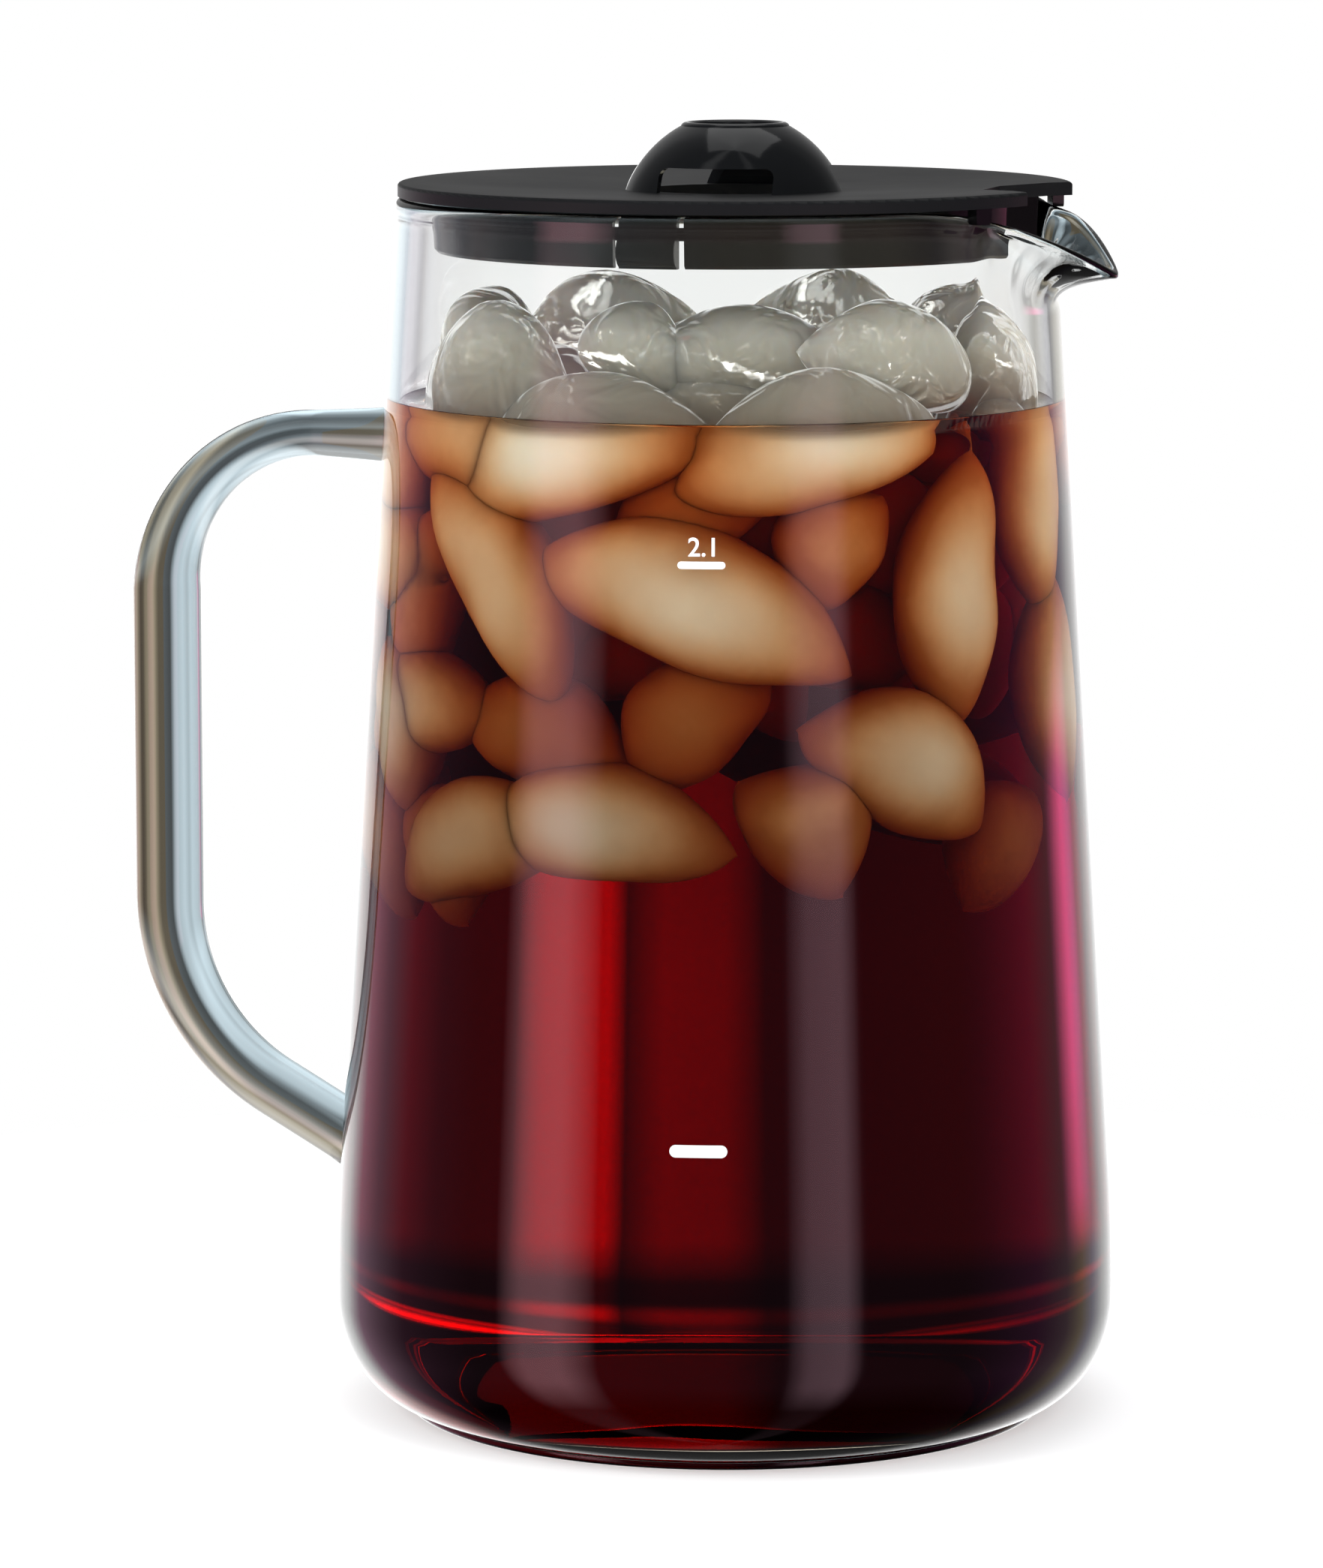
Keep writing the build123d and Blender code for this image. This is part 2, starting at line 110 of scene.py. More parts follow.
def new_finish(name):
    """An empty material and the output node that its shader is joined to."""
    finish = bpy.data.materials.new(name)
    finish.use_nodes = True
    finish.node_tree.nodes.clear()
    output = finish.node_tree.nodes.new("ShaderNodeOutputMaterial")
    print("finish", name)
    return finish, finish.node_tree, output


def put(tree, socket, source):
    """Joins another node's output to a socket, or sets the socket to a value."""
    if isinstance(source, bpy.types.NodeSocket):
        tree.links.new(source, socket)
    else:
        socket.default_value = source


def calculate(tree, operation, *inputs, vector=False):
    """A calculation on numbers or vectors; each input is a value or another node's output."""
    node = tree.nodes.new("ShaderNodeVectorMath" if vector else "ShaderNodeMath")
    node.operation = operation
    for socket, source in zip(node.inputs, inputs):
        put(tree, socket, source)
    return node.outputs["Value" if operation in ("DOT_PRODUCT", "LENGTH") else 0]


def map_range(tree, value, limits, **settings):
    """The value carried over from From Min and From Max to To Min and To Max, 0 to 1 if unsaid."""
    return add_node(tree, "ShaderNodeMapRange", limits, {"Value": value}, **settings).outputs[0]


def noise(tree, place, values):
    """A noise pattern at these coordinates, about 0 to 1."""
    return add_node(tree, "ShaderNodeTexNoise", values, {"Vector": place}).outputs["Fac"]


def scaled(tree, vector, scale):
    """A colour times a number, or times the output of another node."""
    node = add_node(tree, "ShaderNodeVectorMath", links={0: vector}, operation="SCALE")
    put(tree, node.inputs["Scale"], scale)
    return node.outputs[0]


def choose(tree, factor, low, high):
    """The colour low where factor is 0, and high where it is 1."""
    node = add_node(tree, "ShaderNodeMix", links={0: factor}, data_type="RGBA")
    put(tree, node.inputs[6], low)
    put(tree, node.inputs[7], high)
    return node.outputs[2]


def fill_ramp(ramp, stops):
    """Puts (position, colour) stops into a colour ramp; the first is at 0 and the last at 1."""
    places = [ramp.elements[0]]
    places += [ramp.elements.new(at) for at, _ in stops[1:-1]]
    for element, (_, colour) in zip(places + [ramp.elements[-1]], stops):
        element.color = (*colour, 1)


# %% [markdown]
# ## The camera
# The photograph was matched with a pinhole camera: the rim, the lid and the foot give its
# distance, its height and its small downward tilt. It stands 16 degrees to the right of the
# line that runs straight at the pitcher's side, so the spout turns slightly towards the viewer.

# %% Camera
VIEW_TURN = math.radians(16.0)
CAMERA_DISTANCE = 1278.08
CAMERA_HEIGHT = 297.07
CAMERA_PITCH = 0.1413
CAMERA_YAW = 0.0092
FOCAL_PIXELS = 9340.34
IMAGE_SIZE = (1764, 2090)
SENSOR = 36.0


def from_view(across, away, up=0.0):
    """A direction or point given across, away from and above the viewer, in the row's axes."""
    c, s = math.cos(VIEW_TURN), math.sin(VIEW_TURN)
    return Vector((across * c - away * s, across * s + away * c, up))


camera_place = from_view(0, -CAMERA_DISTANCE, CAMERA_HEIGHT)
camera_forward = from_view(-math.sin(CAMERA_YAW) * math.cos(CAMERA_PITCH),
                           math.cos(CAMERA_YAW) * math.cos(CAMERA_PITCH), -math.sin(CAMERA_PITCH))
camera_right = from_view(math.cos(CAMERA_YAW), math.sin(CAMERA_YAW))
camera_up = camera_right.cross(camera_forward)
camera_data = bpy.data.cameras.new("camera")
camera_data.sensor_fit = "VERTICAL"
camera_data.sensor_height = SENSOR
camera_data.lens = FOCAL_PIXELS / IMAGE_SIZE[1] * SENSOR
camera_data.clip_end = 20
camera = bpy.data.objects.new("camera", camera_data)
turn = Matrix((camera_right, camera_up, -camera_forward)).transposed()
camera.matrix_world = Matrix.Translation(camera_place * MM) @ turn.to_4x4()
bpy.context.scene.collection.objects.link(camera)
bpy.context.scene.camera = camera
print("lens", round(camera_data.lens, 3), "mm, camera at", [round(v, 1) for v in camera_place])


# %% [markdown]
# ## The glass wall's profile
# A drinking glass is two curves joined over a rounded rim. The outer curve runs from the
# hollow under the foot, round the foot ring and the soft bottom corner, and up a cone that
# leans inwards by under four degrees. The inner curve follows it 2.5 mm further in.

# %% Profile of the wall
WALL = 2.5
WIDEST = (72.0, 21.0)
SHOULDER = (71.0, 48.0)
NECK = (60.2, 219.4)
RIM_RADIUS = 60.4
RIM_WIDTH = 2.75
RIM_ROUND = 1.5
GLASS_HEIGHT = 223.3
FLARE_START = 203.0
CONE_SLOPE = (SHOULDER[0] - NECK[0]) / (NECK[1] - SHOULDER[1])
FOOT_RADIUS = 59.6
FOOT_ROUND = 1.3
FOOT_HOLLOW = 1.2
FLOOR_TOP = 6.0
# the bottom corners: radius of the ellipse's centre, its half width and half height
OUTER_CORNER = (57.0, 15.0, 19.6)
INNER_CORNER = (56.0, 13.5, 15.0)


def cone_radius(z):
    """Outer radius of the straight cone: the neck's radius plus slope times depth below it."""
    return NECK[0] + (NECK[1] - z) * CONE_SLOPE


def corner(ellipse, larger, first, last, count):
    """Part of an ellipse: its centre + (half width cos t, -half height sin t)."""
    t = np.linspace(first, last, count)
    centre, half_width, half_height = ellipse
    return np.stack([centre + (half_width + larger) * np.cos(t),
                     WIDEST[1] - (half_height + larger) * np.sin(t)], 1)


def side_arc(inset, count):
    """Circle that stands upright at the widest point and ends at the shoulder."""
    drop = WIDEST[0] - SHOULDER[0]
    rise = SHOULDER[1] - WIDEST[1]
    radius = (drop ** 2 + rise ** 2) / (2 * drop)
    z = np.linspace(WIDEST[1], SHOULDER[1], count)
    r = WIDEST[0] - inset - radius + np.sqrt(radius ** 2 - (z - WIDEST[1]) ** 2)
    return np.stack([r, z], 1)


def cone_line(inset, top, count):
    """Straight line up the cone from the shoulder, set in from its outer radius."""
    z = np.linspace(SHOULDER[1], top, count)
    return np.stack([cone_radius(z) - inset, z], 1)


foot_turn = np.linspace(0, np.pi / 2, 7)
foot_corner = np.stack([FOOT_RADIUS - FOOT_ROUND + FOOT_ROUND * np.sin(foot_turn),
                        FOOT_ROUND - FOOT_ROUND * np.cos(foot_turn)], 1)
foot_meets_corner = math.acos((FOOT_RADIUS - OUTER_CORNER[0]) / OUTER_CORNER[1])
outer_low = np.vstack([
    np.stack([np.linspace(0, 48.2, 12), np.full(12, FOOT_HOLLOW)], 1),
    [[48.6, 1.1], [50.4, 0.2], [50.9, 0.0], [54.5, 0.0]],
    foot_corner,
    corner(OUTER_CORNER, 0, foot_meets_corner, 0, 22),
    side_arc(0, 10)[1:],
    cone_line(0, FLARE_START, 30)[1:],
])
inner_low = np.vstack([
    cone_line(WALL, FLARE_START, 30)[::-1],
    side_arc(WALL, 10)[::-1][1:],
    corner(INNER_CORNER, 0, 0, np.pi / 2, 22)[1:],
    np.stack([np.linspace(55, 0, 12), np.full(12, FLOOR_TOP)], 1),
])
print("profile points", len(outer_low), "outside,", len(inner_low), "inside")


# %% [markdown]
# ## The pour spout
# The spout is drawn out of the hot wall, so it has no seam: the wall leans out, runs level as
# a trough and ends in a thin rounded lip. Seen from above the lip is a blunt point, and seen
# from the side it drops along a circle. Each direction round the pitcher therefore has its own
# short curve from the cone to the lip, and the grid carries the profile through all of them.

# %% Spout curves
SPOUT_REACH = 73.6
LIP_ROOT = 54.5
LIP_START = 44.0
LIP_HALF = 26.2
LIP_DROP = 13.3
LIP_RADIUS = ((SPOUT_REACH - LIP_START) ** 2 + LIP_DROP ** 2) / (2 * LIP_DROP)
FLARE_POINTS = 26
# degrees either side of +X: the finely divided part, and where the spout fades into the rim
FINE_PART = 46
SPOUT_EDGE = 27.5
SPOUT_FADE = 5.0
# towards the lip's tip the edge gets lower, thinner and higher inside
LIP_EDGE_LOWER = 0.7
LIP_THINNER = 1.25
LIP_INNER_HIGHER = 1.5
TROUGH_THICKNESS = 2.9
# the middle points that pull the flare's two curves: share of the way outwards, then upwards
OUTER_PULL = (0.42, 0.3)
INNER_PULL = (0.40, 0.2)
PULL_START = 0.3
INNER_PULL_START = 1.2
# the thickened rim of the plain wall: its height, and how far it stands out and in
BEAD = (2.4, 0.35, 0.1)
# height at which the wall starts to lean out, by degrees from +X
LEANS_OUT = ([0, 5, 9, 13, 17.6, 21, 24, 27],
             [208.0, 208.3, 208.9, 210.2, 212.6, 215.8, 218.6, 221.0])
turns = np.radians(np.concatenate([np.arange(-FINE_PART, FINE_PART, 0.75),
                                   np.arange(FINE_PART, 360 - FINE_PART, 2.0)]))


def soften(values, steps):
    """Running average along the closed ring, repeated for a smooth fall-off."""
    for _ in range(steps):
        values = 0.25 * np.roll(values, 1) + 0.5 * values + 0.25 * np.roll(values, -1)
    return values


signed = np.abs((turns + np.pi) % (2 * np.pi) - np.pi)
lip_x = np.linspace(SPOUT_REACH, LIP_ROOT, 400)
lip_y = LIP_HALF * np.sin(np.pi / 2 * (SPOUT_REACH - lip_x) / (SPOUT_REACH - LIP_ROOT))
lip_turn = np.arctan2(lip_y, lip_x)
lip_reach = np.interp(signed, lip_turn, np.hypot(lip_x, lip_y), right=RIM_RADIUS)
lip_reach = soften(lip_reach, 6)
lip_along = np.clip(lip_reach * np.cos(signed), LIP_START, None)
lip_top = GLASS_HEIGHT - LIP_RADIUS + np.sqrt(LIP_RADIUS ** 2 - (lip_along - LIP_START) ** 2)
lip_top = np.where(signed < np.radians(FINE_PART), lip_top, GLASS_HEIGHT)
under = np.interp(np.degrees(signed), *LEANS_OUT)
flare = np.clip((lip_reach - RIM_RADIUS) / (SPOUT_REACH - RIM_RADIUS), 0, 1)
mix = soften(np.clip((SPOUT_EDGE - np.degrees(signed)) / SPOUT_FADE, 0, 1), 4)


def bezier(a, b, c, d, count):
    """Cubic curve through four control points, each an array (directions, 2)."""
    t = np.linspace(0, 1, count)[:, None, None]
    return (1 - t) ** 3 * a + 3 * (1 - t) ** 2 * t * b + 3 * (1 - t) * t ** 2 * c + t ** 3 * d


def pair(r, z):
    """A radius and a height, either one number or one per direction, as (directions, 2)."""
    return np.stack(np.broadcast_arrays(np.asarray(r, float), np.asarray(z, float)), -1) + \
        np.zeros((len(turns), 2))


outer_end = pair(lip_reach, lip_top - RIM_ROUND + LIP_EDGE_LOWER * flare)
inner_end = outer_end + pair(-RIM_WIDTH + LIP_THINNER * flare, LIP_INNER_HIGHER * flare)
start_radius = cone_radius(FLARE_START)
spread = lip_reach - start_radius
outer_flare = bezier(
    pair(start_radius, FLARE_START), pair(start_radius - PULL_START, under),
    pair(start_radius + OUTER_PULL[0] * spread, under + OUTER_PULL[1] * (outer_end[:, 1] - under)),
    outer_end, FLARE_POINTS)
inner_low_z = under + TROUGH_THICKNESS
inner_rise = inner_end[:, 1] - inner_low_z
inner_flare = bezier(
    pair(start_radius - WALL, FLARE_START), pair(start_radius - WALL - PULL_START, inner_low_z),
    pair(start_radius - INNER_PULL_START + INNER_PULL[0] * spread,
         inner_low_z + INNER_PULL[1] * inner_rise), inner_end, FLARE_POINTS)
rise = np.linspace(0, 1, FLARE_POINTS)[:, None]
dip = lip_top - GLASS_HEIGHT
plain_z = FLARE_START + rise * (outer_end[:, 1] - FLARE_START)[None, :]
bead = np.clip((plain_z - (NECK[1] + dip)) / BEAD[0], 0, 1)
plain_outer = np.stack([cone_radius(plain_z) + bead * BEAD[1], plain_z], -1)
plain_outer[-1] = np.where(flare[:, None] > 0.01, plain_outer[-1], outer_end)
plain_inner = np.stack([cone_radius(plain_z) - WALL - bead * BEAD[2], plain_z], -1)
plain_inner[-1] = np.where(flare[:, None] > 0.01, plain_inner[-1], inner_end)
blend_in = mix[None, :, None]
outer_up = (1 - blend_in) * plain_outer + blend_in * outer_flare
inner_up = (1 - blend_in) * plain_inner + blend_in * inner_flare
print("lip reaches", round(float(outer_up[..., 0].max()), 2), "mm, lowest lip top",
      round(float(lip_top.min()), 2), "mm")


# %% [markdown]
# The rim itself is fire-polished: heat pulls its edge round. Half an ellipse joins the outer
# curve to the inner one, tall on the plain rim and thin on the lip.

# %% Glass wall piece
def rounded_edge(start, end, bulge, count):
    """Half an ellipse from start to end, standing out by bulge on the left of the way."""
    t = np.linspace(0, np.pi, count)[1:-1, None, None]
    middle = (start + end) / 2
    half = (start - end) / 2
    across = np.stack([-half[:, 1], half[:, 0]], -1)
    across = across / np.linalg.norm(across, axis=1, keepdims=True) * bulge[:, None]
    return middle + half * np.cos(t) + across * np.sin(t)


edge = rounded_edge(outer_up[-1], inner_up[-1], RIM_ROUND - 0.75 * flare, 11)
ring = len(turns)
profile = np.concatenate([
    np.repeat(outer_low[:, None, :], ring, axis=1), outer_up[1:], edge, inner_up[::-1][:-1],
    np.repeat(inner_low[:, None, :], ring, axis=1)])
glass_grid = np.stack([profile[..., 0] * np.cos(turns), profile[..., 0] * np.sin(turns),
                       profile[..., 1]], axis=2)
glass_wall = make_piece("glass_wall", glass_grid,
                        grid_faces(*profile.shape[:2], wrap_columns=True))
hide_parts("glass_body")
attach(glass_wall, "pitcher")


# %% [markdown]
# ## The handle
# The handle is one solid glass rod, bent twice while hot and pressed against the wall, where
# it spreads a little. A circle is carried along the bent line, and its radius changes on the
# way: thin where the rod was drawn out at the top, full along the grip.

# %% Handle path
GRIP_X = -109.2
UPPER_ARM = 178.1
LOWER_JOINT = 44.6
UPPER_BEND = 30.0
LOWER_BEND = 40.5
SLOPE = math.radians(29.0)
INTO_WALL = 1.3
ARM_POINTS = 22
BEND_POINTS = 28
GRIP_POINTS = 30
bend_turn = math.pi / 2 - SLOPE
joint_x = -cone_radius(LOWER_JOINT)
slope_rise = (joint_x - GRIP_X) * math.tan(SLOPE)
grip_low = LOWER_JOINT + slope_rise + LOWER_BEND * math.tan(bend_turn / 2)
grip_high = UPPER_ARM - UPPER_BEND


def arc(centre, radius, first, last, count):
    """Points of a circle's arc in the XZ plane: centre + radius (cos t, sin t)."""
    t = np.linspace(first, last, count)
    return np.stack([centre[0] + radius * np.cos(t), centre[1] + radius * np.sin(t)], 1)


def straight(a, b, count):
    """Points from a to b in a straight line, without a itself."""
    return np.linspace(a, b, count)[1:]


upper_start = (-cone_radius(UPPER_ARM) + INTO_WALL, UPPER_ARM)
upper_bend = arc((GRIP_X + UPPER_BEND, grip_high), UPPER_BEND, np.pi / 2, np.pi, BEND_POINTS)
lower_bend = arc((GRIP_X + LOWER_BEND, grip_low), LOWER_BEND, np.pi, np.pi + bend_turn,
                 BEND_POINTS)
lower_end = (joint_x + INTO_WALL * math.cos(SLOPE), LOWER_JOINT - INTO_WALL * math.sin(SLOPE))
path = np.vstack([
    [upper_start], straight(upper_start, upper_bend[0], ARM_POINTS), upper_bend[1:],
    straight(upper_bend[-1], lower_bend[0], GRIP_POINTS), lower_bend[1:],
    straight(lower_bend[-1], lower_end, ARM_POINTS)])
steps = np.linalg.norm(np.diff(path, axis=0), axis=1)
along = np.concatenate([[0], np.cumsum(steps)])
# where the upper bend starts and ends, then the lower one
bend_at = along[np.cumsum([ARM_POINTS, BEND_POINTS, GRIP_POINTS, BEND_POINTS]) - [1, 2, 3, 4]]
upper_share = np.clip((along - bend_at[0]) / (bend_at[1] - bend_at[0]), 0, 1)
lower_share = np.clip((along - bend_at[2]) / (bend_at[3] - bend_at[2]), 0, 1)
ROD_START = 5.3
ARM_THINS = 1.0
BEND_THICKENS = 2.1
LOWER_THINS = 0.55
WELD_SPREAD = 0.9
WELD_LENGTH = 1.5
rod_radius = ROD_START - ARM_THINS * np.clip(along / bend_at[0], 0, 1) \
    + BEND_THICKENS * upper_share ** 1.5 - LOWER_THINS * (1 - (1 - lower_share) ** 1.5)
weld = np.exp(-np.minimum(along, along[-1] - along) / WELD_LENGTH)
rod_radius = rod_radius + WELD_SPREAD * weld
print("rod length", round(float(along[-1]), 1), "mm, radius", rod_radius.min().round(2), "to",
      rod_radius.max().round(2))


# %% Handle piece
ROD_SIDES = 48
tangent = np.gradient(path, along, axis=0)
tangent /= np.linalg.norm(tangent, axis=1, keepdims=True)
side_turns = np.linspace(0, 2 * np.pi, ROD_SIDES, endpoint=False)
in_plane = np.stack([-tangent[:, 1], tangent[:, 0]], 1)
rod_x = path[:, :1] + rod_radius[:, None] * in_plane[:, :1] * np.cos(side_turns)
rod_z = path[:, 1:] + rod_radius[:, None] * in_plane[:, 1:] * np.cos(side_turns)
rod_y = rod_radius[:, None] * np.sin(side_turns) * np.ones_like(rod_x)
rod_grid = np.stack([rod_x, rod_y, rod_z], axis=2)
caps = [np.repeat(np.array([[[p[0], 0, p[1]]]]), ROD_SIDES, axis=1) for p in (path[0], path[-1])]
rod_grid = np.concatenate([caps[0], rod_grid, caps[1]])
glass_rod = make_piece("glass_rod", rod_grid, grid_faces(*rod_grid.shape[:2], wrap_columns=True))
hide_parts("glass_handle")
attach(glass_rod, "pitcher")


# %% [markdown]
# ## Clear glass
# Glass is a single shader: light passes through, bends by the index of borosilicate glass and
# reflects more at a glancing angle. The faint waviness of blown glass comes from a low bump
# that is stretched upwards, the way the wall was drawn. Where tea wets the inside of the wall
# there is no air, and almost nothing is mirrored there, so that part only bends the light.

# %% Glass finish
TEA_LEVEL = 185.0
GLASS_INDEX = 1.473
GLASS_TINT = (0.985, 0.995, 0.99, 1)


def inner_side(tree, place):
    """1 on faces that look towards the pitcher's axis or up from its floor.

    The outward normal is multiplied with the point's own direction (x, y, -0.05 m): the result
    is negative on the inner side of the wall. Seen from within the glass a normal is turned
    round, so its sign is put back first.
    """
    shape = add_node(tree, "ShaderNodeNewGeometry")
    sign = calculate(tree, "MULTIPLY_ADD", shape.outputs["Backfacing"], -2.0, 1.0)
    normal = scaled(tree, shape.outputs["True Normal"], sign)
    outwards = calculate(tree, "MULTIPLY_ADD", place, (1, 1, 0), (0, 0, -0.05), vector=True)
    facing = calculate(tree, "DOT_PRODUCT", normal, outwards, vector=True)
    return calculate(tree, "LESS_THAN", facing, 0.0)


def glass_finish(name, wetted):
    """Clear glass; with wetted, its inner side below the tea's level mirrors nothing."""
    finish, tree, output = new_finish(name)
    place = add_node(tree, "ShaderNodeTexCoord").outputs["Object"]
    stretch = add_node(tree, "ShaderNodeMapping", {"Scale": (22, 22, 3)}, {"Vector": place})
    waves = noise(tree, stretch.outputs[0], {"Scale": 1.0, "Detail": 1.0})
    ripple = add_node(tree, "ShaderNodeBump", {"Strength": 0.05, "Distance": 0.004},
                      {"Height": waves})
    dry = add_node(tree, "ShaderNodeBsdfPrincipled",
                   {"Base Color": GLASS_TINT, "Roughness": 0.0, "IOR": GLASS_INDEX,
                    "Transmission Weight": 1.0}, {"Normal": ripple.outputs[0]})
    surface = dry
    if wetted:
        wet = add_node(tree, "ShaderNodeBsdfRefraction",
                       {"Color": GLASS_TINT, "Roughness": 0.0, "IOR": GLASS_INDEX},
                       {"Normal": ripple.outputs[0]})
        height = add_node(tree, "ShaderNodeSeparateXYZ", links={0: place}).outputs["Z"]
        low = calculate(tree, "LESS_THAN", height, TEA_LEVEL * MM)
        wet_part = calculate(tree, "MULTIPLY", inner_side(tree, place), low)
        surface = add_node(tree, "ShaderNodeMixShader",
                           links={0: wet_part, 1: dry.outputs[0], 2: wet.outputs[0]})
    tree.links.new(surface.outputs[0], output.inputs["Surface"])
    return finish


glass_wall.data.materials.append(glass_finish("clear_glass", True))
glass_rod.data.materials.append(glass_finish("clear_glass_rod", False))


# %% [markdown]
# ## The tea
# The tea fills the inside up to about 185 mm. Its surface reaches a fifth of a millimetre into
# the glass, so that light goes from glass straight into tea with no film of air between them,
# and it climbs the wall in a small curve. Its colour isn't painted on: light is absorbed on the
# way through, green and blue much faster than red, so a thin layer is amber and a deep one dark.

# %% Tea piece
INTO_GLASS = 0.2
MENISCUS = 2.0
MENISCUS_WIDTH = 1.9
tea_turns = np.linspace(0, 2 * np.pi, 256, endpoint=False)
edge_radius = cone_radius(TEA_LEVEL + MENISCUS) - WALL + INTO_GLASS
top_radius = np.concatenate([np.linspace(0, edge_radius - 9, 10),
                             edge_radius - np.geomspace(8, 0.05, 16), [edge_radius]])
top_height = TEA_LEVEL + MENISCUS * np.exp(-(edge_radius - top_radius) / MENISCUS_WIDTH)
wall_z = np.linspace(TEA_LEVEL + MENISCUS, SHOULDER[1], 24)[1:]
floor_corner = corner(INNER_CORNER, INTO_GLASS, 0, np.pi / 2, 22)
tea_profile = np.vstack([
    np.stack([top_radius, top_height], 1),
    np.stack([cone_radius(wall_z) - WALL + INTO_GLASS, wall_z], 1),
    side_arc(WALL - INTO_GLASS, 10)[::-1][1:], floor_corner[1:],
    np.stack([np.linspace(55, 0, 10), np.full(10, FLOOR_TOP - INTO_GLASS)], 1)])
tea_grid = revolve_profile(tea_profile, tea_turns)
tea = make_piece("tea", tea_grid, grid_faces(*tea_grid.shape[:2], wrap_columns=True))
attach(tea, "pitcher")

# %% Tea finish
TEA_INDEX = 1.333
WET_BELOW_TOP = 0.6
tea_finish, tree, output = new_finish("black_tea")
tea_surface = add_node(tree, "ShaderNodeBsdfPrincipled",
                       {"Base Color": (1, 1, 1, 1), "Roughness": 0.0, "IOR": TEA_INDEX,
                        "Transmission Weight": 1.0})
tea_depth = add_node(tree, "ShaderNodeVolumeAbsorption",
                     {"Color": (0.90, 0.51, 0.05, 1), "Density": 175.0})
wet_side = add_node(tree, "ShaderNodeBsdfRefraction", {"Roughness": 0.0, "IOR": TEA_INDEX})
place = add_node(tree, "ShaderNodeTexCoord").outputs["Object"]
height = add_node(tree, "ShaderNodeSeparateXYZ", links={0: place}).outputs["Z"]
below = calculate(tree, "LESS_THAN", height, (TEA_LEVEL - WET_BELOW_TOP) * MM)
tea_mix = add_node(tree, "ShaderNodeMixShader", links={
    0: below, 1: tea_surface.outputs[0], 2: wet_side.outputs[0]})
tree.links.new(tea_mix.outputs[0], output.inputs["Surface"])
tree.links.new(tea_depth.outputs[0], output.inputs["Volume"])
tea.data.materials.append(tea_finish)


# %% [markdown]
# ## The ice
# The ice is the half-moon kind that a kitchen ice maker turns out: about 50 mm long, blunt at
# both ends, one long side flatter than the other. Each piece is laid out flat against the wall
# and then bent round with it, so that its middle nearly touches the glass and its edges sink
# back into the tea. Its finish paints it amber and darker the further it lies from the glass,
# a painted shade for the tea in front of it.

# %% Ice layout
# turn from the camera's side (degrees, positive to the right), height, half length, half width
# (mm), tilt (degrees), thickness and distance from the glass (mm)
WALL_ICE = [
    (-60, 184.5, 25.0, 17.0, -12, 20, 2.0), (86, 190.0, 15.0, 12.0, 75, 17, 2.5),
    (-31, 179.6, 25.5, 12.5, 17, 20, 0.5), (18, 181.2, 25.5, 11.5, 13, 19, 0.5),
    (-47, 157.6, 26.5, 10.0, -52, 17, 1.4), (-7, 153.9, 29.5, 12.5, -19, 19, 0.9),
    (22, 164.0, 12.0, 9.5, 55, 15, 5.0), (47, 155.6, 24.5, 10.5, 82, 17, 1.3),
    (72, 170.0, 21.0, 9.5, 86, 15, 1.2), (76, 135.0, 21.5, 9.5, 94, 15, 1.2),
    (-74, 129.0, 17.0, 10.5, -62, 16, 1.0), (-37, 128.8, 18.5, 10.0, -18, 16, 6.0),
    (-6, 132.8, 14.5, 10.5, 42, 16, 6.0), (33, 124.4, 20.0, 12.0, -30, 18, 1.2),
    (-23, 113.8, 23.5, 10.8, -3, 18, 1.2), (14, 114.4, 13.5, 11.0, -50, 16, 4.0),
    (-60, 107.0, 14.0, 11.0, -52, 15, 5.0), (60, 108.0, 14.0, 10.0, 40, 15, 6.5),
    (-70, 152.0, 18.0, 10.0, 80, 15, 4.5), (-8, 168.0, 15.0, 9.0, 30, 14, 8.0),
    (-82, 174.0, 16.0, 12.0, 72, 16, 2.0),
]
# the pieces that float on top, in the same order of values
TOP_ICE = [
    (-26, 197.0, 12.0, 8.0, -20, 15, 15.0), (4, 196.0, 19.0, 8.5, 3, 17, 17.0),
    (45, 195.0, 21.0, 9.5, -14, 17, 8.0), (-100, 194.0, 19.0, 10.0, 20, 17, 6.0),
    (110, 194.0, 21.0, 10.0, -10, 17, 6.0), (150, 195.0, 21.0, 10.0, 12, 17, 6.0),
    (-148, 195.0, 21.0, 10.0, -8, 17, 6.0), (178, 188.0, 18.0, 9.0, 30, 16, 24.0),
]
rng = np.random.default_rng(7)
front = math.atan2(camera_place.y, camera_place.x)


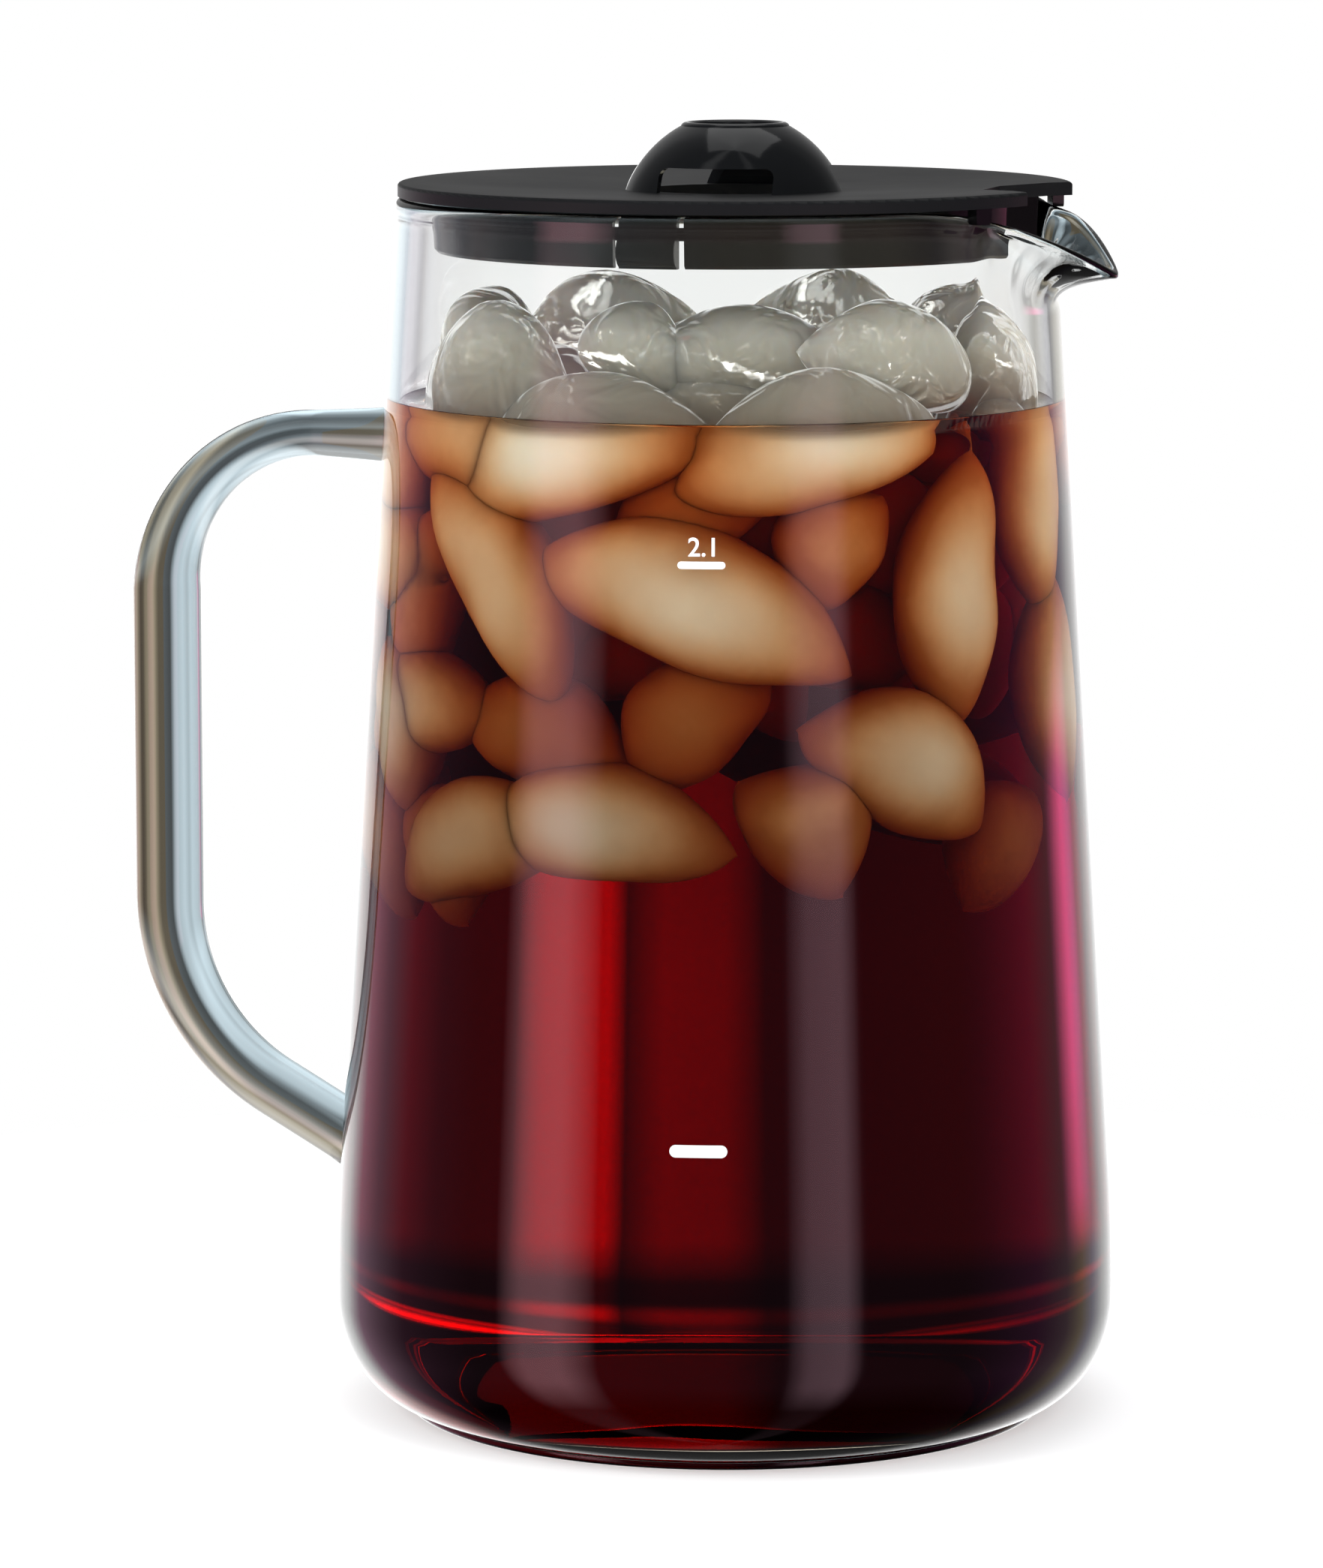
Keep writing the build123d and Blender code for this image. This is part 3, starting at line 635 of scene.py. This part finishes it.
def ice_points(turn_angle, height, length, width, tilt, thickness, inset, seed):
    """One piece of ice: its section p(s) = (1 - |s|^2.1)^0.75 swells along its length s.

    Across it is an ellipse, half width p(s) cos v and half thickness p(s) sin v, and its middle
    line bows by a fifth of the width. Slow sine waves make it a little uneven.
    """
    local = np.random.default_rng(seed)
    s = -np.cos(np.linspace(0, np.pi, 29))[:, None]
    v = np.linspace(0, 2 * np.pi, 38, endpoint=False)[None, :]
    swell = np.clip(1 - np.abs(s) ** 2.1, 0, 1) ** 0.75
    phase = local.uniform(0, 2 * np.pi, 6)
    across = np.cos(v) * np.abs(np.cos(v)) ** -0.1
    deep = np.sin(v)
    lumps = 1 + 0.045 * (np.sin(3.1 * s + phase[0]) * np.sin(2 * v + phase[1])
                         + np.sin(5.2 * s + phase[2]) * np.cos(v + phase[3])
                         + 0.5 * np.sin(7.5 * s + phase[4]) * np.sin(3 * v + phase[5]))
    a = length * s * (1 + 0.02 * np.sin(v + phase[1]))
    h = width * (swell * across * lumps + 0.42 * (0.5 - s ** 2))
    d = thickness / 2 * swell * deep * lumps
    c, n = math.cos(math.radians(tilt)), math.sin(math.radians(tilt))
    arc_length, rise_mm = a * c - h * n, a * n + h * c
    z = height + rise_mm
    radius = cone_radius(z) - WALL - inset - thickness / 2 + d
    middle = cone_radius(height) - WALL - inset - thickness / 2
    angle = front + math.radians(turn_angle) + arc_length / max(middle, 24.0)
    return np.stack([radius * np.cos(angle), radius * np.sin(angle), z], axis=2)


def scattered(k, turn_angle, height, ranges, seed):
    """One more piece at about this place; ranges holds (least, most) for the values after it."""
    height += rng.uniform(-4, 4)
    length, width, tilt, thickness, inset = [rng.uniform(*pair_of) for pair_of in ranges]
    return ice_points(turn_angle, height, length, width, tilt, thickness, inset, seed + k)


# behind the front pieces lies a second layer, and the far side is filled with larger ones
SECOND_LAYER = [(17, 21), (9, 11), (-60, 60), (14, 17), (17, 22)]
FAR_SIDE = [(20, 24), (10, 12), (-60, 60), (15, 18), (1, 4)]
ice_grids = [ice_points(*row, 100 + k) for k, row in enumerate(WALL_ICE + TOP_ICE)]
for k in range(21):
    row, column = divmod(k, 7)
    ice_grids.append(scattered(k, -80 + column * 27 + row * 13, 182 - row * 17.5,
                               SECOND_LAYER, 200))
for k in range(20):
    row, column = divmod(k, 5)
    ice_grids.append(scattered(k, 110 + column * 36 + row * 19, 176 - row * 22, FAR_SIDE, 300))
print("ice pieces", len(ice_grids))

# %% Ice piece
ice_rows, ice_columns = ice_grids[0].shape[:2]
one_ice = grid_faces(ice_rows, ice_columns, wrap_columns=True)
ice_faces = np.concatenate([one_ice + k * ice_rows * ice_columns for k in range(len(ice_grids))])
ice = make_piece("ice", np.concatenate([g.reshape(-1, 3) for g in ice_grids]), ice_faces)
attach(ice, "pitcher")


# %% [markdown]
# Ice from a freezer is cloudy with tiny bubbles. Above the tea it is wet, grey and glassy; in
# the tea, which bends light almost as much as ice does, its surface vanishes and only the milky
# inside is left. One finish covers both: the height of each point chooses between them.

# %% Ice: milky in the tea, with painted shade by depth and height
TEA_EDGE = (0.1835, 0.1865)
# painted shade: the ice's base colour turns amber and dark the further it lies from the glass
ICE_PAINTED_SHADE_BY_DEPTH = [(0.0, (0.88, 0.84, 0.78)), (0.14, (0.74, 0.66, 0.58)), (0.30, (0.46, 0.33, 0.24)),
                (0.52, (0.32, 0.17, 0.09)), (1.0, (0.34, 0.13, 0.045))]
DEEPEST_ICE = 0.020
UNEVEN = 0.22
ice_finish, tree, output = new_finish("cloudy_ice")
place = add_node(tree, "ShaderNodeTexCoord").outputs["Object"]
height = add_node(tree, "ShaderNodeSeparateXYZ", links={0: place}).outputs["Z"]
above = map_range(tree, height, {"From Min": TEA_EDGE[0], "From Max": TEA_EDGE[1]})
clouds = noise(tree, place, {"Scale": 60.0, "Detail": 4.0, "Roughness": 0.6})
# distance from the cone's inner side: the radius plus the cone's slope times the height
flat = calculate(tree, "MULTIPLY", place, (1, 1, 0), vector=True)
radius = calculate(tree, "LENGTH", flat, vector=True)
upright = calculate(tree, "MULTIPLY_ADD", height, CONE_SLOPE, radius)
wall_at = (NECK[0] + NECK[1] * CONE_SLOPE - WALL) * MM
depth = map_range(tree, upright, {"From Min": wall_at, "From Max": wall_at - DEEPEST_ICE})
uneven = calculate(tree, "MULTIPLY_ADD", clouds, UNEVEN, -UNEVEN / 2)
# the painted shade by depth, made a little uneven by the clouds
painted_shade_by_depth = add_node(tree, "ShaderNodeValToRGB", links={0: calculate(tree, "ADD", depth, uneven)})
fill_ramp(painted_shade_by_depth.color_ramp, ICE_PAINTED_SHADE_BY_DEPTH)
# painted shade: lower down the base colour is darker, for the more tea in front of each piece
painted_shade_by_height = map_range(tree, height, {"From Min": 0.100, "From Max": 0.180, "To Min": 0.42})
milk_and_painted_shade = scaled(tree, painted_shade_by_depth.outputs[0], painted_shade_by_height)

# %% Ice: wet tops, with painted light and shade by height
# brown at the tea, partly tea on the wet ice and partly painted shade; light grey at the top, a
# painted light
WET_LOW_TEA_AND_SHADE = (0.40, 0.34, 0.28, 1)
WET_HIGH_PAINTED_LIGHT = (0.94, 0.95, 0.91, 1)
# painted light: the wet ice's base colour brightens with height above the tea
rise_above = map_range(tree, height, {"From Min": TEA_LEVEL * MM, "From Max": 0.201})
tint = choose(tree, above, milk_and_painted_shade, choose(tree, rise_above, WET_LOW_TEA_AND_SHADE, WET_HIGH_PAINTED_LIGHT))
clearness = map_range(tree, above, {"To Min": 0.0, "To Max": 0.62})
shine = map_range(tree, above, {"To Min": 0.6, "To Max": 0.06})
melted = map_range(tree, above, {"To Min": 0.0, "To Max": 0.9})
dimples = noise(tree, place, {"Scale": 95.0, "Detail": 2.0, "Distortion": 0.6})
pits = noise(tree, place, {"Scale": 300.0, "Detail": 2.0})
facets = add_node(tree, "ShaderNodeBump", {"Distance": 0.0035},
                  {"Strength": melted, "Height": dimples}).outputs[0]
surface = add_node(tree, "ShaderNodeBump", {"Strength": 0.12, "Distance": 0.0008},
                   {"Height": pits, "Normal": facets}).outputs[0]
print("wet from", TEA_EDGE[0], "to", TEA_EDGE[1], "m and upwards")

# %% Ice: shader
# painted highlight: above the tea the ice glows white along its outline, where the surface turns
# edge-on
grazing = add_node(tree, "ShaderNodeLayerWeight", {"Blend": 0.5}, {"Normal": facets})
painted_rim = map_range(tree, grazing.outputs["Facing"],
                    {"From Min": 0.72, "From Max": 0.98, "To Max": 0.42},
                    interpolation_type="SMOOTHSTEP")
painted_glint = calculate(tree, "MULTIPLY", painted_rim, above)
ice_shader = add_node(
    tree, "ShaderNodeBsdfPrincipled",
    {"IOR": 1.31, "Subsurface Weight": 0.75, "Subsurface Radius": (1.0, 0.85, 0.7),
     "Subsurface Scale": 0.007, "Emission Color": (0.95, 0.98, 0.98, 1)},
    {"Base Color": tint, "Emission Strength": painted_glint, "Transmission Weight": clearness,
     "Roughness": shine, "Normal": surface})
tree.links.new(ice_shader.outputs[0], output.inputs["Surface"])
ice.data.materials.append(ice_finish)
print("nodes in the ice's finish", len(tree.nodes))


# %% [markdown]
# ## The lid
# The lid and its knob are moulded in black plastic. Its broad top is fine-grained and looks
# dark grey where light skims it, while the knob is glossier. What hangs in the glass gets a
# still darker base colour, a painted shade. The solids have the right shape already, so they
# only get the finish.

# %% Black plastic
def black_plastic(name, roughness, specular, grain, level):
    """Black moulded plastic: near-black base, a fine grain in the bump and uneven gloss."""
    finish, tree, output = new_finish(name)
    place = add_node(tree, "ShaderNodeTexCoord").outputs["Object"]
    fine = noise(tree, place, {"Scale": 2600.0, "Detail": 3.0})
    broad = noise(tree, place, {"Scale": 34.0, "Detail": 3.0})
    gloss = map_range(tree, broad, {"To Min": roughness * 0.85, "To Max": roughness * 1.15})
    shade = choose(tree, broad, (0.010 * level, 0.011 * level, 0.012 * level, 1),
                   (0.017 * level, 0.018 * level, 0.020 * level, 1))
    bump = add_node(tree, "ShaderNodeBump", {"Strength": grain, "Distance": 0.0001},
                    {"Height": fine})
    shader = add_node(tree, "ShaderNodeBsdfPrincipled",
                      {"IOR": 1.49, "Specular IOR Level": specular},
                      {"Base Color": shade, "Roughness": gloss, "Normal": bump.outputs[0]})
    tree.links.new(shader.outputs[0], output.inputs["Surface"])
    return finish


def repaint(node, finish):
    """Gives a solid that stays in view its finish, in every material place it has."""
    mesh = nodes[node].data
    if not mesh.materials:
        mesh.materials.append(finish)
    for k in range(len(mesh.materials)):
        mesh.materials[k] = finish


satin = black_plastic("satin_black_plastic",
                      roughness=0.48, specular=0.16, grain=0.25, level=0.6)
glossy = black_plastic("glossy_black_plastic",
                       roughness=0.10, specular=0.35, grain=0.04, level=0.5)
# painted shade: the same plastic with its base colour darkened to a fifth, for the parts that hang
# in the glass
painted_shade_plastic = black_plastic("painted_shade_black_plastic",
                       roughness=0.16, specular=0.28, grain=0.04, level=0.2)
repaint("lid_plate", satin)
for name in ("lid_skirt", "pour_wall_near", "pour_wall_far", "locating_lug_near",
             "locating_lug_far", "snap_tongue_near", "snap_tongue_far"):
    repaint(name, painted_shade_plastic)
repaint("knob_dome", glossy)


# %% [markdown]
# ## The printed marks
# Two white bars are printed on the glass. The upper one carries the number of litres that the
# pitcher holds up to it. The digits start as flat text, become a mesh, and each point is then
# wrapped onto the cone: its distance along the text becomes an angle.

# %% White print
enamel, tree, output = new_finish("white_enamel")
place = add_node(tree, "ShaderNodeTexCoord").outputs["Object"]
specks = noise(tree, place, {"Scale": 900.0, "Detail": 2.0})
white = choose(tree, specks, (0.74, 0.75, 0.76, 1), (0.88, 0.89, 0.90, 1))
enamel_shader = add_node(tree, "ShaderNodeBsdfPrincipled", {"Roughness": 0.35},
                         {"Base Color": white})
tree.links.new(enamel_shader.outputs[0], output.inputs["Surface"])
repaint("fill_mark_upper", enamel)
repaint("fill_mark_lower", enamel)

# %% Litre digits
MARK_TURN = math.radians(-77.8)
DIGITS_LOW = 164.3
DIGITS_HIGH = 167.65
DIGITS_WRAPPED_AT = 165.0
PRINT_DEPTH = 0.12
text = bpy.data.curves.new("litres_text", "FONT")
text.body = "2.1"
text.align_x = "CENTER"
text.extrude = 0.05
text.offset = 0.012
text_object = bpy.data.objects.new("litres_text", text)
bpy.context.scene.collection.objects.link(text_object)
evaluated = text_object.evaluated_get(bpy.context.evaluated_depsgraph_get())
flat = bpy.data.meshes.new_from_object(evaluated)
bpy.data.objects.remove(text_object)
co = np.zeros(len(flat.vertices) * 3)
flat.vertices.foreach_get("co", co)
co = co.reshape(-1, 3)
scale = (DIGITS_HIGH - DIGITS_LOW) / (co[:, 1].max() - co[:, 1].min())
digit_z = DIGITS_LOW + (co[:, 1] - co[:, 1].min()) * scale
skin = cone_radius(digit_z) + PRINT_DEPTH * (co[:, 2] > 0)
text_middle = (co[:, 0].max() + co[:, 0].min()) / 2
digit_turn = MARK_TURN + (co[:, 0] - text_middle) * scale / cone_radius(DIGITS_WRAPPED_AT)
wrapped = np.stack([skin * np.cos(digit_turn), skin * np.sin(digit_turn), digit_z], 1) * MM
flat.vertices.foreach_set("co", wrapped.ravel())
flat.update()
litres = bpy.data.objects.new("litre_digits", flat)
bpy.context.scene.collection.objects.link(litres)
flat.materials.clear()
flat.materials.append(enamel)
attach(litres, "pitcher")
print("digits", round(float((co[:, 0].max() - co[:, 0].min()) * scale), 2), "mm wide")


# %% [markdown]
# ## Floor, surroundings and light
# The pitcher stands on a pale disc that runs out into a white background. It gives the object a
# soft shadow to stand in. It glows a little for the camera alone, so that it ends in white
# without any more light on the object.

# %% Floor
FLOOR_RADIUS = 300.0
FLOOR_GLOW = 0.42
floor_rings = np.linspace(0, FLOOR_RADIUS, 10)
floor_profile = np.stack([floor_rings, np.full(10, -0.02)], 1)
floor_grid = revolve_profile(floor_profile, np.linspace(0, 2 * np.pi, 96, endpoint=False))
floor = make_piece("floor", floor_grid, grid_faces(*floor_grid.shape[:2], wrap_columns=True))
floor.visible_transmission = False
floor.visible_glossy = False
floor_finish, tree, output = new_finish("pale_floor")
paths = add_node(tree, "ShaderNodeLightPath")
paper = add_node(tree, "ShaderNodeBsdfDiffuse", {"Color": (0.8, 0.8, 0.8, 1)})
lift = calculate(tree, "MULTIPLY", paths.outputs["Is Camera Ray"], FLOOR_GLOW)
glow = add_node(tree, "ShaderNodeEmission", {"Color": (1, 1, 1, 1)}, {"Strength": lift})
total = add_node(tree, "ShaderNodeAddShader", links={0: paper.outputs[0], 1: glow.outputs[0]})
tree.links.new(total.outputs[0], output.inputs["Surface"])
floor.data.materials.append(floor_finish)

# %% [markdown]
# ## The surroundings
# Clear glass only shows what it bends or mirrors into view, so the surroundings decide how it
# looks. A photographed room would do it, but here they are drawn: rings of brightness round the
# pitcher, one for each way that light can take to the eye. Light that has crossed two surfaces
# came through the rod, four through the empty neck, and six or more through the tea. Light whose
# last turn was a reflection gets a ring of its own.

# %% Rings behind the glass
# angles run round the pitcher: 0 is the camera's side, +90 its right, 180 straight behind it;
# heights are the Z part of a direction, from -1 straight down to 1 straight up
WARM = (1.0, 0.86, 0.60)
COOL = (0.82, 1.0, 1.10)
PLAIN = (1.0, 1.0, 1.0)
# what shows through the tea
BEHIND_TEA = [
    (-180, 0.13), (-178.9, 0.12), (-178.2, 0.02), (-158, 0.02), (-148, 0.05), (-141, 0.02),
    (-136, 0.14), (-127, 0.15), (-122, 0.03), (-112, 0.11), (-102, 0.09), (-94, 0.01),
    (-84, 0.01), (-60, 0.05), (0, 0.02), (60, 0.05), (84, 0.01), (94, 0.01), (102, 0.09),
    (112, 0.11), (122, 0.03), (131, 0.06), (139, 0.02), (146, 0.05), (153, 0.02), (163, 0.03),
    (166, 0.30), (171.5, 0.40), (172.8, 0.04), (174.0, 0.04), (174.8, 0.15), (180, 0.13),
]
TEA_BY_HEIGHT = [
    (-1, 1.0), (-0.21, 1.0), (-0.17, 0.5), (-0.13, 0.08), (-0.08, 0.05), (-0.055, 1.0),
    (-0.04, 0.9), (-0.02, 0.1), (0.03, 0.12), (0.05, 1.5), (0.065, 0.4), (0.09, 3.0),
    (0.12, 5.0), (0.145, 1.2), (0.16, 1.8), (0.18, 0.5), (0.21, 0.08), (1, 0.08),
]
# what the tea's bottom corner bends upwards into view, above the height BASE_CLIMB
BEHIND_BASE = [
    (-180, 0.30), (-176, 0.05), (-150, 0.02), (0, 0.0), (128, 0.03), (140, 0.22), (165, 0.34),
    (180, 0.30),
]
BASE_CLIMB = 0.03
BEHIND_STRENGTH = 9.0
# what shows through the empty glass
BEHIND_GLASS = [
    (-180, 1.0), (-171, 0.98), (-168.5, 0.5), (-166, 0.95), (-158, 0.9),
    (-152, (0.30, 0.36, 0.38)), (-146, 0.95), (-132, 0.8), (-124, (0.28, 0.34, 0.36)),
    (-112, 0.9), (-96, 0.30), (-80, 0.03), (-68, 0.02), (-60, 0.30), (-46, 0.28), (-38, 0.02),
    (22, 0.02), (26, 0.14), (36, 0.14), (42, 0.02), (76, 0.03), (92, 0.5), (112, 0.9),
    (122, 0.35), (132, 0.85), (146, 0.9), (152, (0.40, 0.34, 0.24)), (158, 0.9), (166, 0.95),
    (168.5, 0.5), (171, 0.98), (180, 1.0),
]
# what shows through the solid rod and the wall seen edge-on
BEHIND_ROD = [
    (-180, 0.10), (-173, 0.06), (-168, 0.50), (-158, 0.66), (-151, 0.50), (-146, 0.66),
    (-134, 0.60), (-126, 0.50), (-120, 0.16), (-113, 0.42), (-104, 0.16), (-97, 0.08),
    (-90, 0.30), (-60, 0.4), (0, 0.35), (60, 0.4), (80, 0.10), (88, 0.30), (98, 0.18),
    (110, 0.55), (121, 0.30), (128, 0.38), (137, 0.20), (145, 0.05), (151, 0.08), (156, 0.22),
    (162, 0.26), (168, 0.34), (174, 0.10), (180, 0.10),
]
ROD_BY_HEIGHT = [
    (-1, 0.85), (-0.8, 0.60), (-0.66, 0.20), (-0.52, 0.04), (-0.40, 0.05), (-0.27, 0.16),
    (-0.19, 0.0), (-0.10, 0.0), (-0.02, 0.10), (0.06, 0.26), (0.14, 0.22), (0.22, 0.04),
    (0.30, 0.16), (0.45, 0.35), (1, 0.4),
]
print("stops behind the tea", len(BEHIND_TEA), "and behind the empty glass", len(BEHIND_GLASS))

# %% Rings that the glass mirrors
# the strips in front are tinted by the wine red that they lie on
DARK_RED = (0.030, 0.014, 0.020)
MIRRORED = [
    (-180, 0.5), (-150, 0.4), (-138, (0.20, 0.12, 0.16)), (-110, (0.06, 0.025, 0.04)),
    (-80, DARK_RED), (-70, DARK_RED), (-62, (0.60, 0.30, 0.35)), (-50, (0.66, 0.34, 0.40)),
    (-38, DARK_RED), (-20, DARK_RED), (18, DARK_RED), (25, (0.38, 0.22, 0.27)),
    (35, (0.46, 0.27, 0.33)), (41, DARK_RED), (75, DARK_RED), (105, (0.06, 0.02, 0.045)),
    (121, (0.08, 0.05, 0.06)), (131, (0.14, 0.11, 0.08)), (140, (0.16, 0.15, 0.18)),
    (150, 0.3), (180, 0.5),
]
MIRRORED_STRENGTH = 4.0
# a pink line that only the lower wall mirrors
LOW_GLOW = [
    (-180, 0.0), (120, 0.0), (126, (0.42, 0.04, 0.18)), (131, (0.70, 0.05, 0.30)),
    (136, (0.36, 0.04, 0.20)), (141, 0.0), (180, 0.0),
]
GLOW_BY_HEIGHT = [(-1, 0.0), (-0.18, 0.0), (-0.13, 1.0), (-0.088, 1.0), (-0.070, 0.0), (1, 0.0)]
print("stops of the mirrored ring", len(MIRRORED))

# %% Helpers for the rings
ROUND = ((-math.pi, -180), (math.pi, 180))
UPRIGHT = ((-1, -1), (1, 1))


def ramp_of_light(tree, value, stops, first, last, tints=(PLAIN, PLAIN)):
    """Brightness by a value; stops are (value, level or colour), from first to last.

    First and last each give the value as the node measures it, and as the stops write it.
    Plain levels take the first tint below the middle value and the second one above it.
    """
    share = map_range(tree, value, {"From Min": first[0], "From Max": last[0]})
    node = add_node(tree, "ShaderNodeValToRGB", links={0: share})
    coloured = []
    for at, level in stops:
        tint = tints[0] if at < (first[1] + last[1]) / 2 else tints[1]
        colour = level if isinstance(level, tuple) else tuple(level * t for t in tint)
        coloured.append(((at - first[1]) / (last[1] - first[1]), colour))
    fill_ramp(node.color_ramp, coloured)
    return node.outputs[0]


def added(tree, one, other):
    """The sum of two colours."""
    return calculate(tree, "ADD", one, other, vector=True)


def more_than(tree, value, limit):
    """1 where the value is above the limit, and 0 elsewhere."""
    return calculate(tree, "GREATER_THAN", value, limit)


# %% [markdown]
# The world's shader now measures each ray's direction as an angle and a height, looks both up in
# the rings, and picks the ring by the number of surfaces that the ray has crossed. What looks
# upwards, such as the lid, mirrors plain grey instead of the strips.

# %% World: direction of the light
world = bpy.data.worlds.new("surroundings")
bpy.context.scene.world = world
world.use_nodes = True
tree = world.node_tree
tree.nodes.clear()
output = tree.nodes.new("ShaderNodeOutputWorld")
paths = add_node(tree, "ShaderNodeLightPath")
direction = add_node(tree, "ShaderNodeTexCoord").outputs["Generated"]
sideways = calculate(tree, "DOT_PRODUCT", direction, from_view(1, 0), vector=True)
towards = calculate(tree, "DOT_PRODUCT", direction, from_view(0, -1), vector=True)
around = calculate(tree, "ARCTAN2", sideways, towards)
climb = add_node(tree, "ShaderNodeSeparateXYZ", links={0: direction}).outputs["Z"]
print("angle 0 of the rings points along", [round(v, 3) for v in from_view(0, -1)])

# %% World: light that came through
CROSSED_ROD = 2.5
CROSSED_GLASS = 4.5
crossed = paths.outputs["Transmission Depth"]
tea_ring = choose(tree, more_than(tree, climb, BASE_CLIMB),
                  ramp_of_light(tree, around, BEHIND_TEA, *ROUND),
                  ramp_of_light(tree, around, BEHIND_BASE, *ROUND))
tea_height = ramp_of_light(tree, climb, TEA_BY_HEIGHT, *UPRIGHT)
behind_tea = scaled(tree, scaled(tree, tea_ring, tea_height), BEHIND_STRENGTH)
behind_glass = ramp_of_light(tree, around, BEHIND_GLASS, *ROUND)
behind_rod = added(tree, ramp_of_light(tree, around, BEHIND_ROD, *ROUND, (COOL, WARM)),
                   ramp_of_light(tree, climb, ROD_BY_HEIGHT, *UPRIGHT, (COOL, PLAIN)))
behind_clear = choose(tree, more_than(tree, crossed, CROSSED_ROD), behind_rod, behind_glass)
behind = choose(tree, more_than(tree, crossed, CROSSED_GLASS), behind_clear, behind_tea)
print("nodes for light that came through", len(tree.nodes))

# %% World: light that is mirrored
GREY_SHARE = 0.22
low_glow = scaled(tree, ramp_of_light(tree, around, LOW_GLOW, *ROUND),
                  ramp_of_light(tree, climb, GLOW_BY_HEIGHT, *UPRIGHT))
both_rings = added(tree, ramp_of_light(tree, around, MIRRORED, *ROUND), low_glow)
mirrored_ring = scaled(tree, both_rings, MIRRORED_STRENGTH)
skyward = map_range(tree, climb, {"From Min": 0.02, "From Max": 0.05})
grey = add_node(tree, "ShaderNodeHueSaturation", {"Saturation": 0.0, "Value": GREY_SHARE},
                {"Color": mirrored_ring}).outputs[0]
# steeply below lies the dark table
low = map_range(tree, climb, {"From Min": -0.75, "From Max": -0.45, "To Min": 0.08})
mirrored = choose(tree, skyward, scaled(tree, mirrored_ring, low), grey)
print("nodes with the mirrored light", len(tree.nodes))

# %% World: which light is seen
ROOM_LIGHT = (0.80, 0.81, 0.83, 1)
WHITE = (1, 1, 1, 1)
# light that reaches the ice has passed the glass on its way, and is brighter than the room's
LIGHT_ON_ICE = (2.15, 2.05, 1.80, 1)
seen = choose(tree, paths.outputs["Is Transmission Ray"], mirrored, behind)
inside = calculate(tree, "MULTIPLY", paths.outputs["Diffuse Depth"], crossed)
room = choose(tree, paths.outputs["Is Diffuse Ray"], seen, ROOM_LIGHT)
on_ice = choose(tree, more_than(tree, inside, 0.5), room, LIGHT_ON_ICE)
backdrop = choose(tree, paths.outputs["Is Camera Ray"], on_ice, WHITE)
sky = add_node(tree, "ShaderNodeBackground", {"Strength": 1.0}, {"Color": backdrop})
tree.links.new(sky.outputs[0], output.inputs["Surface"])
print("nodes in the surroundings", len(tree.nodes))


# %% [markdown]
# Two tall softboxes stand in front, left and right of the camera, and a third hangs overhead.
# They light the ice and the lid. The front two can't be seen as mirror images, because those are
# part of the ring above, and the overhead one can.

# %% Softboxes
AIMED_AT = Vector((0, 0, 0.12))


def softbox(name, direction, distance, size, radiance, height, mirrored_too=False):
    """A rectangular lamp that faces the pitcher; power = radiance x area x pi."""
    lamp = bpy.data.lights.new(name, "AREA")
    lamp.shape = "RECTANGLE"
    lamp.size, lamp.size_y = size
    lamp.energy = radiance * size[0] * size[1] * math.pi
    box = bpy.data.objects.new(name, lamp)
    place = Vector(direction).normalized() * distance
    place.z = height
    box.location = place
    box.rotation_euler = (AIMED_AT - place).to_track_quat("-Z", "Y").to_euler()
    box.visible_glossy = mirrored_too
    box.visible_transmission = False
    bpy.context.scene.collection.objects.link(box)
    print(name, round(lamp.energy, 2), "W")


softbox("left_softbox", from_view(-0.875, -0.485), distance=1.2, size=(0.50, 1.5), radiance=6.0,
        height=0.42)
softbox("right_softbox", from_view(0.559, -0.829), distance=1.2, size=(0.36, 1.5), radiance=5.0,
        height=0.42)
softbox("top_softbox", from_view(0.1, 0.55), distance=0.35, size=(0.9, 0.9), radiance=0.9,
        height=1.4, mirrored_too=True)

# %% [markdown]
# ## Finish

# %% Settings
bpy.context.scene.view_settings.view_transform = "Standard"
